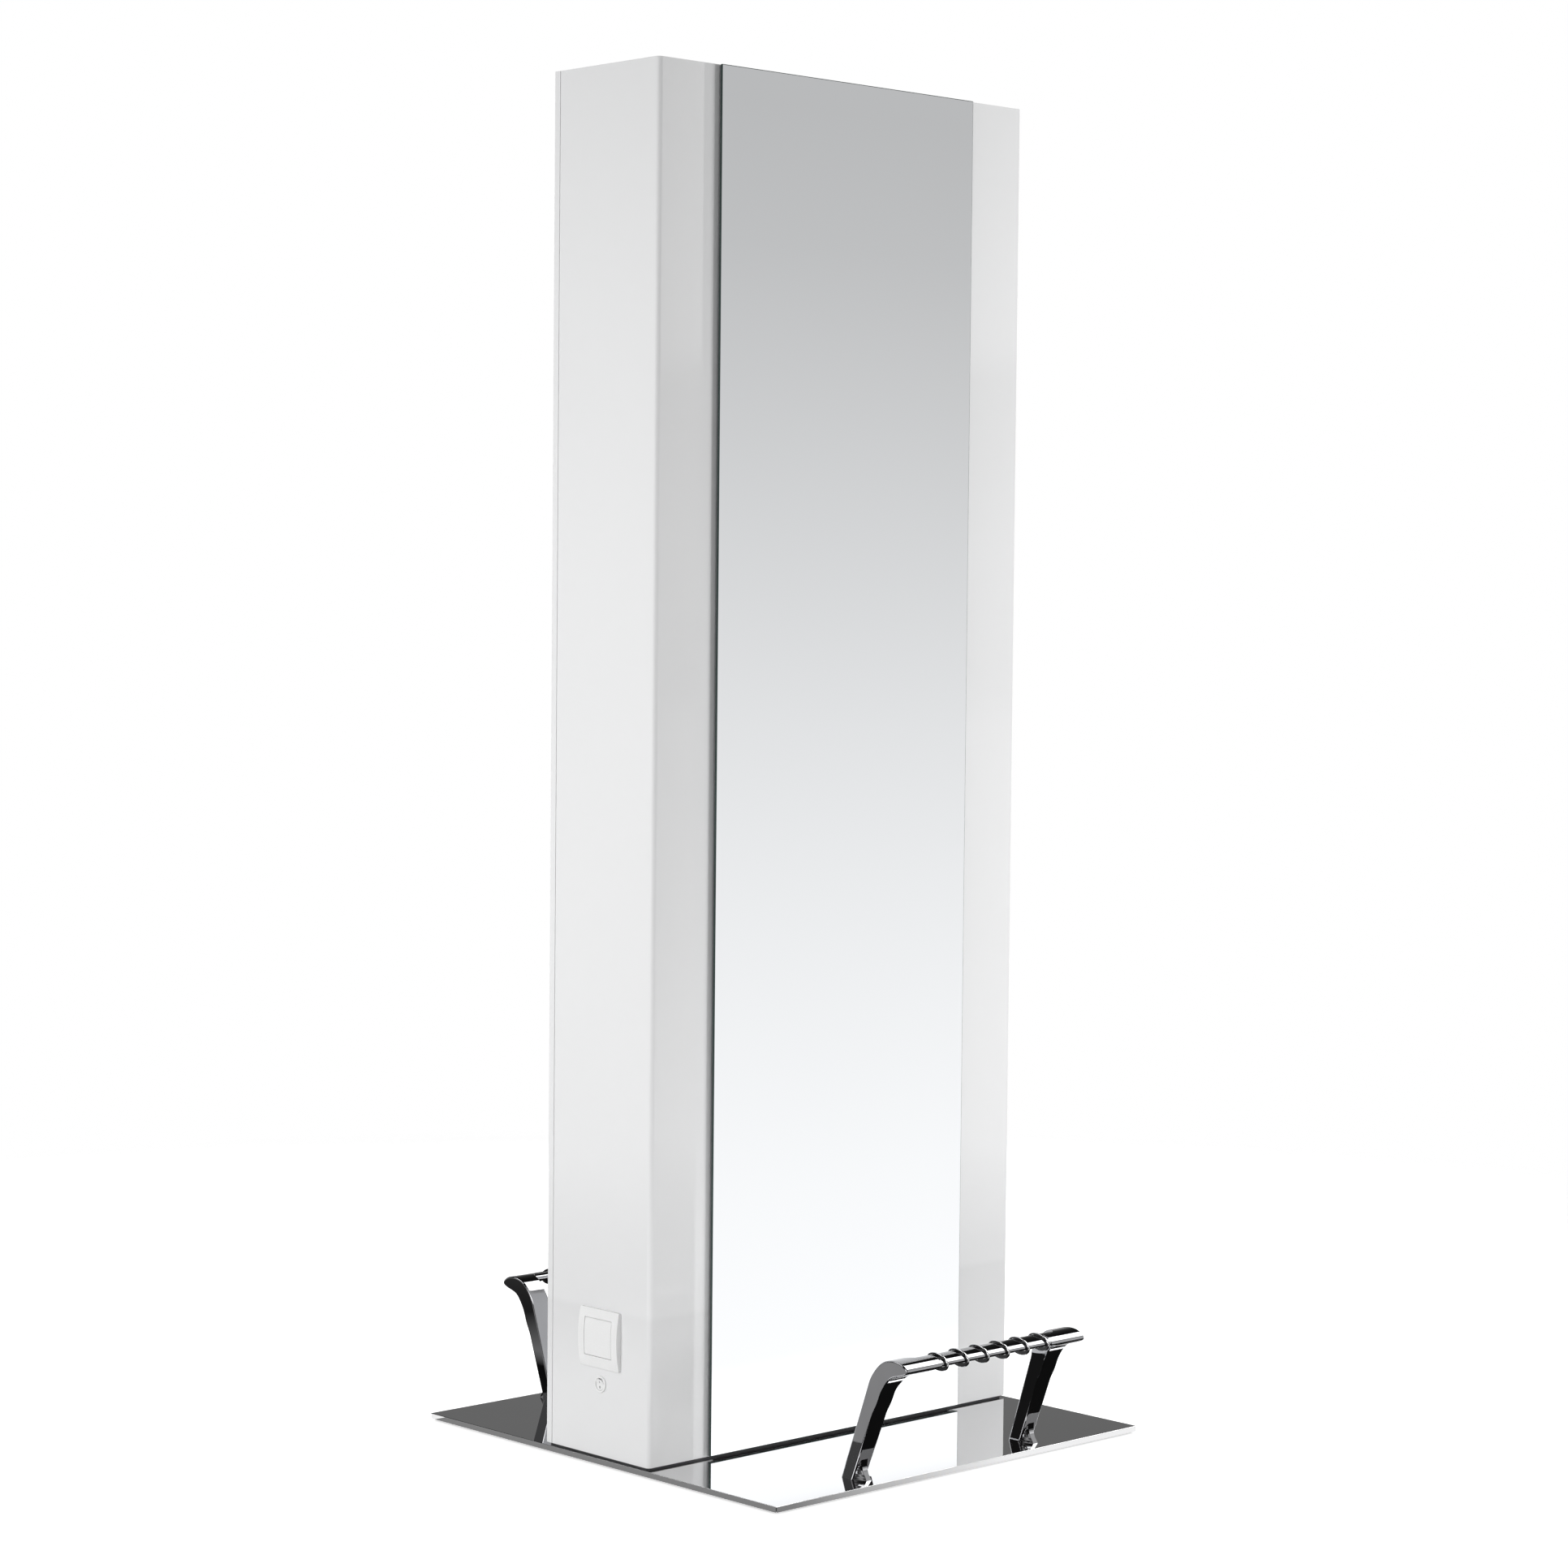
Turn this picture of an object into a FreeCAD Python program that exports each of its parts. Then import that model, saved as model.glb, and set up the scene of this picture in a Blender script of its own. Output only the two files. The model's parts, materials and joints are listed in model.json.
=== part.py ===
"""Double sided salon station: a lit tower with two mirrors, on a polished plate with two footrests.

Millimetres. The origin is on the floor at the centre of the base plate, +Z is up. X runs along the
tower, and each mirror looks along Y. The whole station is the same after half a turn about Z, so
most pieces are made once, at the front or at the left end, and turned for the other side.
"""
import FreeCAD, Part
import math
import os

V = FreeCAD.Vector

# ---------------------------------------------------------------- driving dimensions: base
FOOT_HEIGHT = 3.0          # clear bumper below the skirt of the skin
FOOT_RADIUS = 4.0
FOOT_INSET = 8.0           # centre of a foot from the end edge of the base
FOOT_FROM_CORNER = (44.0, 110.0, 177.0)   # the feet along an end edge
BASE_LENGTH = 746.0        # along X
BASE_WIDTH = 764.0         # along Y
BASE_HEIGHT = 8.0          # height of the folded skin
SKIN_SHEET = 1.0
CORE_THICKNESS = 6.0
CORE_GAP = 0.3             # between the core plate and the skirt
CORNER_SLIT = 1.6          # open corner of the folded skirt

# ---------------------------------------------------------------- driving dimensions: tower
OVERALL_HEIGHT = 2003.0
TOWER_LENGTH = 738.0       # along X, over the covers
TOWER_DEPTH = 226.0        # along Y, over the covers
COVER_LIFT = 3.0           # open line between the covers and the base
COVER_SHEET = 3.0
COVER_BEND = 7.0           # outside radius of a bent cover
RETURN_WIDTH = 12.0        # short leg of a strip, seen on the end face
SEAM_GAP = 1.0
SEAM_BATTEN_WIDTH = 22.0
MIRROR_WIDTH = 514.0
MIRROR_GLASS = 4.0
MIRROR_LIFT = 4.5          # open line between a mirror and the base
BOARD_THICKNESS = 4.0
BOARD_INSET = 2.0          # board edge behind the glass edge
BOARD_GRIP = 3.0           # board screw inside the board
COVER_LAP = 10.0           # how far a board laps over the edge of a cover
EDGE_GAP = 0.5             # between the edge of a cover and the rails
END_GAP = 1.0              # between inner strips and the frames above and below them

# ---------------------------------------------------------------- driving dimensions: frame
ANGLE_SHEET = 3.0
ANGLE_HEIGHT = 25.0
ANGLE_FOOT = 30.0
UPRIGHT_SIZE = 25.0
UPRIGHT_WALL = 2.0
RAIL_COUNT = 5
RAIL_HEIGHT = 40.0
RAIL_INSET = 70.0          # centre of the end rails from the ends of the uprights
RAIL_SCREW_X = 150.0
RAIL_SCREW_DIAMETER = 4.0
RAIL_SCREW_HEAD = 8.0
TIE_COUNT = 3
SCREW_GAP = 0.1            # radial room round every screw
BOLT_DIAMETER = 8.0
BOLT_HEAD_DIAMETER = 16.0
NUT_WIDTH = 13.0
NUT_HEIGHT = 6.5
BOLT_BEYOND = 2.0          # bolt above its nut
TOWER_BOLT_X = (120.0, 330.0)
CAP_SHEET = 3.0
CAP_GAP = 0.3
VENT_COUNT = 6
VENT_PITCH = 24.0
VENT_WIDTH = 6.0
VENT_LENGTH = 70.0

# ---------------------------------------------------------------- driving dimensions: lamps
REFLECTOR_SHEET = 1.5
REFLECTOR_FLANGE = 12.0
SHELF_SHEET = 2.0
SHELF_HEIGHT = 229.0       # top of the shelf above the floor
SHELF_FLANGE = 18.0
BATTEN_WIDTH = 46.0
BATTEN_DEPTH = 22.0
BATTEN_SHEET = 1.0
TUBE_DIAMETER = 26.0
TUBE_LENGTH = 1500.0
TUBE_FROM_SHELF = 117.0
TUBE_STANDOFF = 19.5       # tube axis from the face of the batten
TUBE_CAP_STEP = 0.3        # end cap outside the glass
TUBE_PIN_DIAMETER = 2.3
TUBE_PIN_LENGTH = 6.5
TUBE_PIN_SPACING = 12.7
HOLDER_THICKNESS = 22.0
HOLDER_WIDTH = 28.0
HOLDER_CROWN = 14.0        # holder beyond the axis of the tube
BATTEN_TAIL = 4.0          # batten beyond a lampholder
BALLAST_LENGTH = 180.0
BALLAST_WIDTH = 30.0
BALLAST_DEPTH = 18.0
BALLAST_FROM_END = 60.0

# ---------------------------------------------------------------- driving dimensions: socket
SOCKET_Y = -9.5            # centre of the socket on the left end
SOCKET_Z = 185.0
SOCKET_FRAME = 85.0
SOCKET_PROUD = 9.0         # highest line of the crowned frame
CROWN_RADIUS = 190.0
FRAME_CORNER = 2.0
LID_WIDTH = 58.0
LID_HEIGHT = 54.0
LID_RISE = 1.5             # centre of the lid above the centre of the frame
LID_SHEET = 2.5
LID_GAP = 0.6
LID_SINK = 0.2             # lid face below the frame face
KNUCKLE_RADIUS = 2.3
EAR_WIDTH = 2.6
LID_PIN_DIAMETER = 1.6
PIN_INSET = 0.3            # end of the pin inside its ear
PIN_PLAY = 0.05            # radial running clearance
SPRING_WIRE = 0.5
SPRING_PLAY = 0.15         # coil off the pin
SPRING_PITCH = 0.575
SPRING_TURNS = 7
SPRING_POCKET = 7.0
PANEL_HOLE = 62.0
BRIDGE_SIZE = 71.0
BRIDGE_SHEET = 2.0
INSERT_SHEET = 2.0
CUP_DIAMETER = 40.0
CUP_DEPTH = 17.5
CUP_WALL = 1.5
CUP_FLOOR = 2.5
PIN_HOLE_DIAMETER = 5.5
PIN_HOLE_SPACING = 19.0
CLIP_WIDTH = 6.0
CLIP_SHEET = 1.0
CLIP_PROUD = 2.0           # earth clip inside the wall of the cup
CLIP_OFF = 0.5             # tail of the clip off the cup
CLIP_LIFT = 1.5            # link of the clip in front of the floor of the cup
CUP_ROOM = 0.3             # round the cup and the clips
BOX_WALL = 2.0
BOX_DEPTH = 42.0
POST_GAP = 0.3             # screw posts behind the bridge
BLOCK_DEPTH = 15.0
BLOCK_WIDTH = 36.0
CONTACT_DIAMETER = 7.0
BRIDGE_SCREW_DIAMETER = 3.0
BRIDGE_SCREW_LENGTH = 14.0
BRIDGE_SCREW_Y = 26.5

# ---------------------------------------------------------------- driving dimensions: switch
SWITCH_Y = -8.0
SWITCH_Z = 118.5
SWITCH_BEZEL = 24.5
SWITCH_PROUD = 2.0
SWITCH_BODY = 19.8
SWITCH_DEPTH = 20.0        # body behind the face of the cover
SWITCH_BORE = 18.2
ROCKER_DIAMETER = 16.6
ROCKER_CREST = 2.6
ROCKER_VALLEY = 1.2
ROCKER_ROOT = 4.5
ROCKER_AXIS_DEPTH = 2.5
ROCKER_PIN_DIAMETER = 2.0
ROCKER_TILT = 6.0          # degrees each side of the middle
SWITCH_FIT = 0.2           # radial room of the body in the cover

# ---------------------------------------------------------------- driving dimensions: wiring
JUNCTION_LENGTH = 100.0
JUNCTION_WIDTH = 90.0
JUNCTION_HEIGHT = 48.0
JUNCTION_WALL = 2.0
GROMMET_BORE = 20.0
GROMMET_WAIST = 29.6
GROMMET_FLANGE = 36.0
GROMMET_LIP = 2.0
TERMINAL_LENGTH = 60.0
TERMINAL_WIDTH = 16.0
TERMINAL_HEIGHT = 14.0
TERMINAL_WAYS = 5
TERMINAL_WELL = 4.0
LEAD_DIAMETER = 6.0
LEAD_HEIGHT = 26.0         # centre of a supply lead above the floor
SUPPLY_LEAD_Y = -30.0
SUPPLY_LEAD_X = 330.0
LAMP_LEAD_X = 295.0
LEAD_PLAY = 0.3            # round a lead in a wall or a shelf
LEAD_INSIDE = 1.0          # end of a supply lead inside a box
CLIP_BLOCK = 12.0

# ---------------------------------------------------------------- driving dimensions: footrest
LEG_SPAN = 374.0           # over the outer faces of the legs at the base
LEG_WIDTH = 28.6           # at the base
LEG_OUTER_LEAN = 2.8       # the sides lean in by this much over the height of a leg
LEG_INNER_LEAN = 6.4
LEG_EDGE_ROUND = 2.6
LEG_FROM_EDGE = 64.2       # back edge of a leg at the base, from the edge of the base
LEG_FOOT_THICKNESS = 21.8
LEG_HEAD_HEIGHT = 181.0    # top of the head above the base
TOE_ROOT = 2.0             # spur inside the leg
TOE_SECTIONS = ((0.0, 20.2, 4.7, 11.6),    # height, reach, half width at its front and at the leg
                (4.0, 17.8, 4.3, 11.6),
                (8.0, 15.0, 4.2, 11.6),
                (14.0, 12.4, 4.6, 11.4),
                (21.0, 11.2, 5.2, 10.4),
                (29.0, 11.3, 5.9, 7.5))
BAR_FORWARD = 107.5        # middle of the bar in front of the back edge of a leg
BAR_BELOW_HEAD = 9.0       # middle of the bar below the top of a leg
BAR_HALF_DEPTH = 17.0
BAR_HALF_HEIGHT = 6.7
BAR_TILT = 11.0            # degrees, the side towards the mirror is higher
HUB_LENGTH = 50.4
HUB_IN_LEG = 8.0           # collar of a hub inside the leg
FLARE_SHORT = 6.0          # the flare of a leg ends this far from the end of its collar
FLARE_BELOW_HEAD = (15.4, 54.0)     # where the flare ends and starts, below the top of a leg
FLARE_FORWARD = (106.0, 40.0)       # and in front of its back edge
FLARE_PULL = 0.55          # pull of a hollow curve to its corner: as in a quarter of a circle
FLARE_BACK_PULL = 0.85     # tighter behind the bar
RING_COUNT = 6
RING_FROM_HUB = 3.5        # centre of the outermost rings from the ends of the hubs
RING_THICKNESS = 3.4
RING_HALF_DEPTH = 21.2
RING_HALF_HEIGHT = 12.3
RING_DROP = 1.7            # middle of a ring below the middle of the bar
RING_EDGE_ROUND = 1.5
RING_PLAY = 0.3
FOOT_BOLT_FORWARD = 14.0   # bolt in front of the back edge of a leg
FOOT_BOLT_DEPTH = 20.0     # bolt inside a leg

# ---------------------------------------------------------------- worked out
SKIRT_BOTTOM = FOOT_HEIGHT
BASE_TOP = SKIRT_BOTTOM + BASE_HEIGHT
CORE_TOP = BASE_TOP - SKIN_SHEET
CORE_BOTTOM = CORE_TOP - CORE_THICKNESS
COVER_BOTTOM = BASE_TOP + COVER_LIFT
HALF_LENGTH = TOWER_LENGTH / 2
HALF_DEPTH = TOWER_DEPTH / 2
INNER_X = HALF_LENGTH - COVER_SHEET
INNER_Y = HALF_DEPTH - COVER_SHEET
BOARD_HALF = MIRROR_WIDTH / 2 - BOARD_INSET
RAIL_HALF = BOARD_HALF - COVER_LAP - EDGE_GAP
UPRIGHT_Y = INNER_Y - ANGLE_SHEET             # outer face of an upright
RAIL_SHEET = HALF_DEPTH - UPRIGHT_Y
CAP_BOTTOM = OVERALL_HEIGHT - CAP_SHEET
UPRIGHT_BOTTOM = BASE_TOP + ANGLE_SHEET
UPRIGHT_TOP = CAP_BOTTOM - ANGLE_SHEET
SHELF_TOP = SHELF_HEIGHT
SHELF_BOTTOM = SHELF_TOP - SHELF_SHEET
REFLECTOR_FACE = RAIL_HALF + REFLECTOR_SHEET
BATTEN_FACE = REFLECTOR_FACE + BATTEN_DEPTH
TUBE_X = BATTEN_FACE + TUBE_STANDOFF
TUBE_BOTTOM = SHELF_TOP + TUBE_FROM_SHELF
TUBE_TOP = TUBE_BOTTOM + TUBE_LENGTH
BATTEN_BOTTOM = TUBE_BOTTOM - HOLDER_THICKNESS - BATTEN_TAIL
BATTEN_TOP = TUBE_TOP + HOLDER_THICKNESS + BATTEN_TAIL
LID_Z = SOCKET_Z + LID_RISE
LID_TOP = LID_Z + LID_HEIGHT / 2
LEG_FOOT_Y = BASE_WIDTH / 2 - LEG_FROM_EDGE
BAR_Y = LEG_FOOT_Y + BAR_FORWARD


# ---------------------------------------------------------------- small helpers
def box(x0, x1, y0, y1, z0, z1):
    return Part.makeBox(x1 - x0, y1 - y0, z1 - z0, V(x0, y0, z0))


def rod(radius, start, direction, length):
    return Part.makeCylinder(radius, length, V(*start), V(*direction))


def group(solids):
    return Part.makeCompound(solids)


def half_turn(shape):
    """The same piece on the other side of the station."""
    other = shape.copy()
    other.rotate(V(0, 0, 0), V(0, 0, 1), 180)
    return other


def mirrored_x(shape):
    return shape.mirror(V(0, 0, 0), V(1, 0, 0))


def upright_edges(shape, x, y):
    """Edges that run straight up at one place in plan."""
    found = []
    for edge in shape.Edges:
        points = [vertex.Point for vertex in edge.Vertexes]
        if all(abs(p.x - x) < 0.01 and abs(p.y - y) < 0.01 for p in points):
            found.append(edge)
    return found


def round_corners(shape, x, y):
    """Round the four upright corners enough to clear the inside of a bent cover."""
    corners = []
    for sx in (-1, 1):
        for sy in (-1, 1):
            corners += upright_edges(shape, sx * x, sy * y)
    return shape.makeFillet(COVER_BEND, corners)


def outward(u):
    """X of a point that stands u outside the face of the left end cover."""
    return -HALF_LENGTH - u


def save(name, shape):
    shape.exportStep("parts/" + name + ".step")


def save_pair(name, shape, first="left", second="right"):
    save(name + "_" + first, shape)
    save(name + "_" + second, half_turn(shape))


def save_both(name, shape):
    """Both copies of a small piece in one node."""
    save(name, group(shape.Solids + half_turn(shape).Solids))


# ---------------------------------------------------------------- base
def base_skin():
    """A sheet folded down along four edges, open at the corners, with a hole for the cable."""
    x, y = BASE_LENGTH / 2, BASE_WIDTH / 2
    tray = box(-x, x, -y, y, SKIRT_BOTTOM, BASE_TOP)
    rim = [e for e in tray.Edges if all(abs(v.Point.z - BASE_TOP) < 0.01 for v in e.Vertexes)]
    tray = tray.makeFillet(SKIN_SHEET * 0.8, rim)
    tray = tray.cut(box(SKIN_SHEET - x, x - SKIN_SHEET, SKIN_SHEET - y, y - SKIN_SHEET, 0, CORE_TOP))
    for sx in (-1, 1):
        for sy in (-1, 1):
            corner = box(-CORNER_SLIT, CORNER_SLIT, -CORNER_SLIT, CORNER_SLIT, 0, CORE_TOP)
            corner.translate(V(sx * x, sy * y, 0))
            tray = tray.cut(corner)
    return tray.cut(base_holes(0))


def base_holes(bolt_head):
    """Bolt holes and the cable hole through the base; heads are sunk from below where asked."""
    holes = [rod(GROMMET_WAIST / 2 + SCREW_GAP, (0, 0, 0), (0, 0, 1), BASE_TOP)]
    for x, y in tower_bolt_places() + leg_bolt_places():
        holes.append(rod(BOLT_DIAMETER / 2 + SCREW_GAP, (x, y, 0), (0, 0, 1), BASE_TOP))
        if bolt_head:
            holes.append(bolt_cone(x, y, SCREW_GAP))
    return holes


def bolt_cone(x, y, room):
    """Sunk head of a bolt, its face flush with the underside of the core plate."""
    low, high = BOLT_HEAD_DIAMETER / 2 + room, BOLT_DIAMETER / 2 + room
    return Part.makeCone(low, high, low - high, V(x, y, CORE_BOTTOM), V(0, 0, 1))


def base_core():
    x = BASE_LENGTH / 2 - SKIN_SHEET - CORE_GAP
    y = BASE_WIDTH / 2 - SKIN_SHEET - CORE_GAP
    return box(-x, x, -y, y, CORE_BOTTOM, CORE_TOP).cut(base_holes(1))


def base_feet():
    feet = []
    x = BASE_LENGTH / 2 - FOOT_INSET
    for sx in (-1, 1):
        for inset in FOOT_FROM_CORNER:
            for y in (inset - BASE_WIDTH / 2, BASE_WIDTH / 2 - inset):
                place = V(sx * x, y, 0)
                feet.append(Part.makeCone(FOOT_RADIUS * 0.85, FOOT_RADIUS, CORE_BOTTOM, place, V(0, 0, 1)))
    return group(feet)


def tower_bolt_places():
    y = INNER_Y - ANGLE_FOOT / 2 - ANGLE_SHEET / 2
    return [(sx * x, sy * y) for x in TOWER_BOLT_X for sx in (-1, 1) for sy in (-1, 1)]


def leg_bolt_places():
    x = (LEG_SPAN - LEG_WIDTH) / 2
    y = LEG_FOOT_Y + FOOT_BOLT_FORWARD
    return [(sx * x, sy * y) for sx in (-1, 1) for sy in (-1, 1)]


def sunk_bolt(x, y, top):
    shank = rod(BOLT_DIAMETER / 2, (x, y, CORE_BOTTOM), (0, 0, 1), top - CORE_BOTTOM)
    return shank.fuse(bolt_cone(x, y, 0)).removeSplitter()


def tower_bolts():
    """Sunk bolts with a hexagon nut inside the bottom frame."""
    solids = []
    nut_bottom = BASE_TOP + ANGLE_SHEET
    radius = NUT_WIDTH / math.sqrt(3)
    hexagon = [(radius * math.cos(math.radians(60 * k)), radius * math.sin(math.radians(60 * k)))
               for k in range(7)]
    for x, y in tower_bolt_places():
        solids.append(sunk_bolt(x, y, nut_bottom + NUT_HEIGHT + BOLT_BEYOND))
        corners = [V(x + dx, y + dy, nut_bottom) for dx, dy in hexagon]
        nut = Part.Face(Part.makePolygon(corners)).extrude(V(0, 0, NUT_HEIGHT))
        bore = rod(BOLT_DIAMETER / 2 + SCREW_GAP, (x, y, 0), (0, 0, 1), 2 * nut_bottom)
        solids.append(nut.cut(bore))
    return group(solids)


# ---------------------------------------------------------------- tower frame
def ring_frame(bottom, top, foot_bottom):
    """A welded ring of angle: an upright leg all round and a flat leg towards the middle."""
    outer = round_corners(box(-INNER_X, INNER_X, -INNER_Y, INNER_Y, bottom, top), INNER_X, INNER_Y)
    x, y = INNER_X - ANGLE_SHEET, INNER_Y - ANGLE_SHEET
    above = foot_bottom + ANGLE_SHEET if foot_bottom == bottom else bottom - 1
    below = top + 1 if foot_bottom == bottom else foot_bottom
    ring = outer.cut(box(-x, x, -y, y, above, below))
    x, y = INNER_X - ANGLE_FOOT, INNER_Y - ANGLE_FOOT
    return ring.cut(box(-x, x, -y, y, bottom - 1, top + 1))


def bottom_frame():
    ring = ring_frame(BASE_TOP, BASE_TOP + ANGLE_HEIGHT, BASE_TOP)
    holes = [rod(BOLT_DIAMETER / 2 + SCREW_GAP, (x, y, 0), (0, 0, 1), BASE_TOP + ANGLE_HEIGHT)
             for x, y in tower_bolt_places()]
    return ring.cut(holes)


def top_frame():
    return ring_frame(CAP_BOTTOM - ANGLE_HEIGHT, CAP_BOTTOM, CAP_BOTTOM - ANGLE_SHEET)


def uprights():
    tubes = []
    for sx in (-1, 1):
        for sy in (-1, 1):
            x, y = sx * (RAIL_HALF - UPRIGHT_SIZE / 2), sy * (UPRIGHT_Y - UPRIGHT_SIZE / 2)
            outer, inner = UPRIGHT_SIZE / 2, UPRIGHT_SIZE / 2 - UPRIGHT_WALL
            tube = box(x - outer, x + outer, y - outer, y + outer, UPRIGHT_BOTTOM, UPRIGHT_TOP)
            hollow = box(x - inner, x + inner, y - inner, y + inner, UPRIGHT_BOTTOM, UPRIGHT_TOP)
            tubes.append(tube.cut(hollow))
    return group(tubes)


def tie_rails():
    """Level tubes between a front and a rear upright."""
    ties = []
    reach = UPRIGHT_Y - UPRIGHT_SIZE
    step = (UPRIGHT_TOP - UPRIGHT_BOTTOM) / (TIE_COUNT + 1)
    for level in range(TIE_COUNT):
        z = UPRIGHT_BOTTOM + step * (level + 1)
        for sx in (-1, 1):
            x = sx * (RAIL_HALF - UPRIGHT_SIZE / 2)
            outer, inner = UPRIGHT_SIZE / 2, UPRIGHT_SIZE / 2 - UPRIGHT_WALL
            tie = box(x - outer, x + outer, -reach, reach, z - outer, z + outer)
            ties.append(tie.cut(box(x - inner, x + inner, -reach, reach, z - inner, z + inner)))
    return group(ties)


def rail_levels():
    low, high = UPRIGHT_BOTTOM + RAIL_INSET, UPRIGHT_TOP - RAIL_INSET
    return [low + (high - low) * level / (RAIL_COUNT - 1) for level in range(RAIL_COUNT)]


def screw_holes(radius, start, length):
    """Holes for the board screws at the front; start is the distance from the middle."""
    return [rod(radius, (x, -start, z), (0, -1, 0), length)
            for z in rail_levels() for x in (-RAIL_SCREW_X, RAIL_SCREW_X)]


def mirror_rails_front():
    holes = screw_holes(RAIL_SCREW_DIAMETER / 2 + SCREW_GAP, UPRIGHT_Y, RAIL_SHEET)
    rails = [box(-RAIL_HALF, RAIL_HALF, -HALF_DEPTH, -UPRIGHT_Y, z - RAIL_HEIGHT / 2, z + RAIL_HEIGHT / 2)
             for z in rail_levels()]
    return [rail.cut(holes).Solids[0] for rail in rails]


def board_screws_front():
    """Screws through a rail into its board, their heads on the side away from the mirror."""
    screws = []
    for shank in screw_holes(RAIL_SCREW_DIAMETER / 2, UPRIGHT_Y, RAIL_SHEET + BOARD_GRIP - SCREW_GAP):
        centre = shank.CenterOfMass
        head = rod(RAIL_SCREW_HEAD / 2, (centre.x, -UPRIGHT_Y, centre.z), (0, 1, 0), RAIL_SCREW_HEAD / 3)
        screws.append(head.fuse(shank).removeSplitter())
    return screws


def top_cap():
    """Lid of the tower, let in between the covers, with slots over the lamps."""
    x, y = INNER_X - CAP_GAP, INNER_Y - CAP_GAP
    cap = round_corners(box(-x, x, -y, y, CAP_BOTTOM, OVERALL_HEIGHT), x, y)
    y = HALF_DEPTH - CAP_GAP
    middle = box(-RAIL_HALF, RAIL_HALF, -y, y, CAP_BOTTOM, OVERALL_HEIGHT)
    cap = cap.fuse(middle).removeSplitter()
    slots = []
    for sx in (-1, 1):
        for k in range(VENT_COUNT):
            y = VENT_PITCH * (k - (VENT_COUNT - 1) / 2)
            x = sx * TUBE_X
            slot = box(-VENT_LENGTH / 2, VENT_LENGTH / 2, -VENT_WIDTH / 2, VENT_WIDTH / 2, 0, 2 * CAP_SHEET)
            slot.translate(V(x, y, CAP_BOTTOM - CAP_SHEET / 2))
            slots.append(slot)
    return cap.cut(slots)


# ---------------------------------------------------------------- mirrors
MIRROR_BOTTOM = BASE_TOP + MIRROR_LIFT
MIRROR_BACK = HALF_DEPTH + BOARD_THICKNESS


def mirror_front():
    x = MIRROR_WIDTH / 2
    return box(-x, x, -MIRROR_BACK - MIRROR_GLASS, -MIRROR_BACK, MIRROR_BOTTOM, OVERALL_HEIGHT)


def mirror_board_front():
    top = OVERALL_HEIGHT - BOARD_INSET
    board = box(-BOARD_HALF, BOARD_HALF, -MIRROR_BACK, -HALF_DEPTH, MIRROR_BOTTOM, top)
    return board.cut(screw_holes(RAIL_SCREW_DIAMETER / 2 + SCREW_GAP, HALF_DEPTH, BOARD_GRIP))


# ---------------------------------------------------------------- covers
def angle_sheet(x_out, y_end, y_side, x_end, bend):
    """A sheet bent once: one leg on the left end (x_out), one along the mirror side (y_side)."""
    side = 1 if y_side > y_end else -1
    y_low, y_high = sorted((y_end, y_side))
    block = box(x_out, x_end, y_low, y_high, COVER_BOTTOM, OVERALL_HEIGHT)
    x_in, y_in = x_out + COVER_SHEET, y_side - side * COVER_SHEET
    y_low, y_high = sorted((y_end - side, y_in))
    sheet = block.cut(box(x_in, x_end + 1, y_low, y_high, COVER_BOTTOM - 1, OVERALL_HEIGHT + 1))
    sheet = sheet.makeFillet(bend, upright_edges(sheet, x_out, y_side))
    inner_bend = bend - COVER_SHEET
    if inner_bend > 0:
        sheet = sheet.makeFillet(inner_bend, upright_edges(sheet, x_in, y_in))
    return sheet


COVER_END_X = -RAIL_HALF - EDGE_GAP
SEAM_Y = HALF_DEPTH - RETURN_WIDTH


def end_cover_left():
    """The end face and the strip left of the front mirror, bent from one sheet."""
    cover = angle_sheet(-HALF_LENGTH, SEAM_Y - SEAM_GAP, -HALF_DEPTH, COVER_END_X, COVER_BEND)
    socket_hole = around_socket(-COVER_SHEET - 1, 1, PANEL_HOLE / 2, PANEL_HOLE / 2)
    switch_hole = switch_rod(SWITCH_BODY / 2 + SWITCH_FIT, 1, -COVER_SHEET - 1)
    return cover.cut([socket_hole, switch_hole])


def side_strip_rear():
    """The strip beside the rear mirror, with a short return on the end face."""
    return angle_sheet(-HALF_LENGTH, SEAM_Y, HALF_DEPTH, COVER_END_X, COVER_SHEET * 0.6)


def seam_batten():
    """Strip behind the seam that both sheets lie on."""
    low = SEAM_Y - (SEAM_GAP + SEAM_BATTEN_WIDTH) / 2
    bottom, top = BASE_TOP + ANGLE_HEIGHT + END_GAP, CAP_BOTTOM - ANGLE_HEIGHT - END_GAP
    return box(-INNER_X, -INNER_X + COVER_SHEET, low, INNER_Y, bottom, top)


# ---------------------------------------------------------------- lamps at the left end
def reflector():
    """Folded white sheet on the uprights; its flanges back the edges of the covers."""
    x = -RAIL_HALF
    bottom, top = SHELF_TOP, CAP_BOTTOM - ANGLE_HEIGHT - END_GAP
    sheet = box(x - REFLECTOR_SHEET, x, -INNER_Y, INNER_Y, bottom, top)
    for y in (-INNER_Y, INNER_Y - REFLECTOR_SHEET):
        sheet = sheet.fuse(box(x - REFLECTOR_FLANGE, x, y, y + REFLECTOR_SHEET, bottom, top))
    return sheet.removeSplitter()


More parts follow.
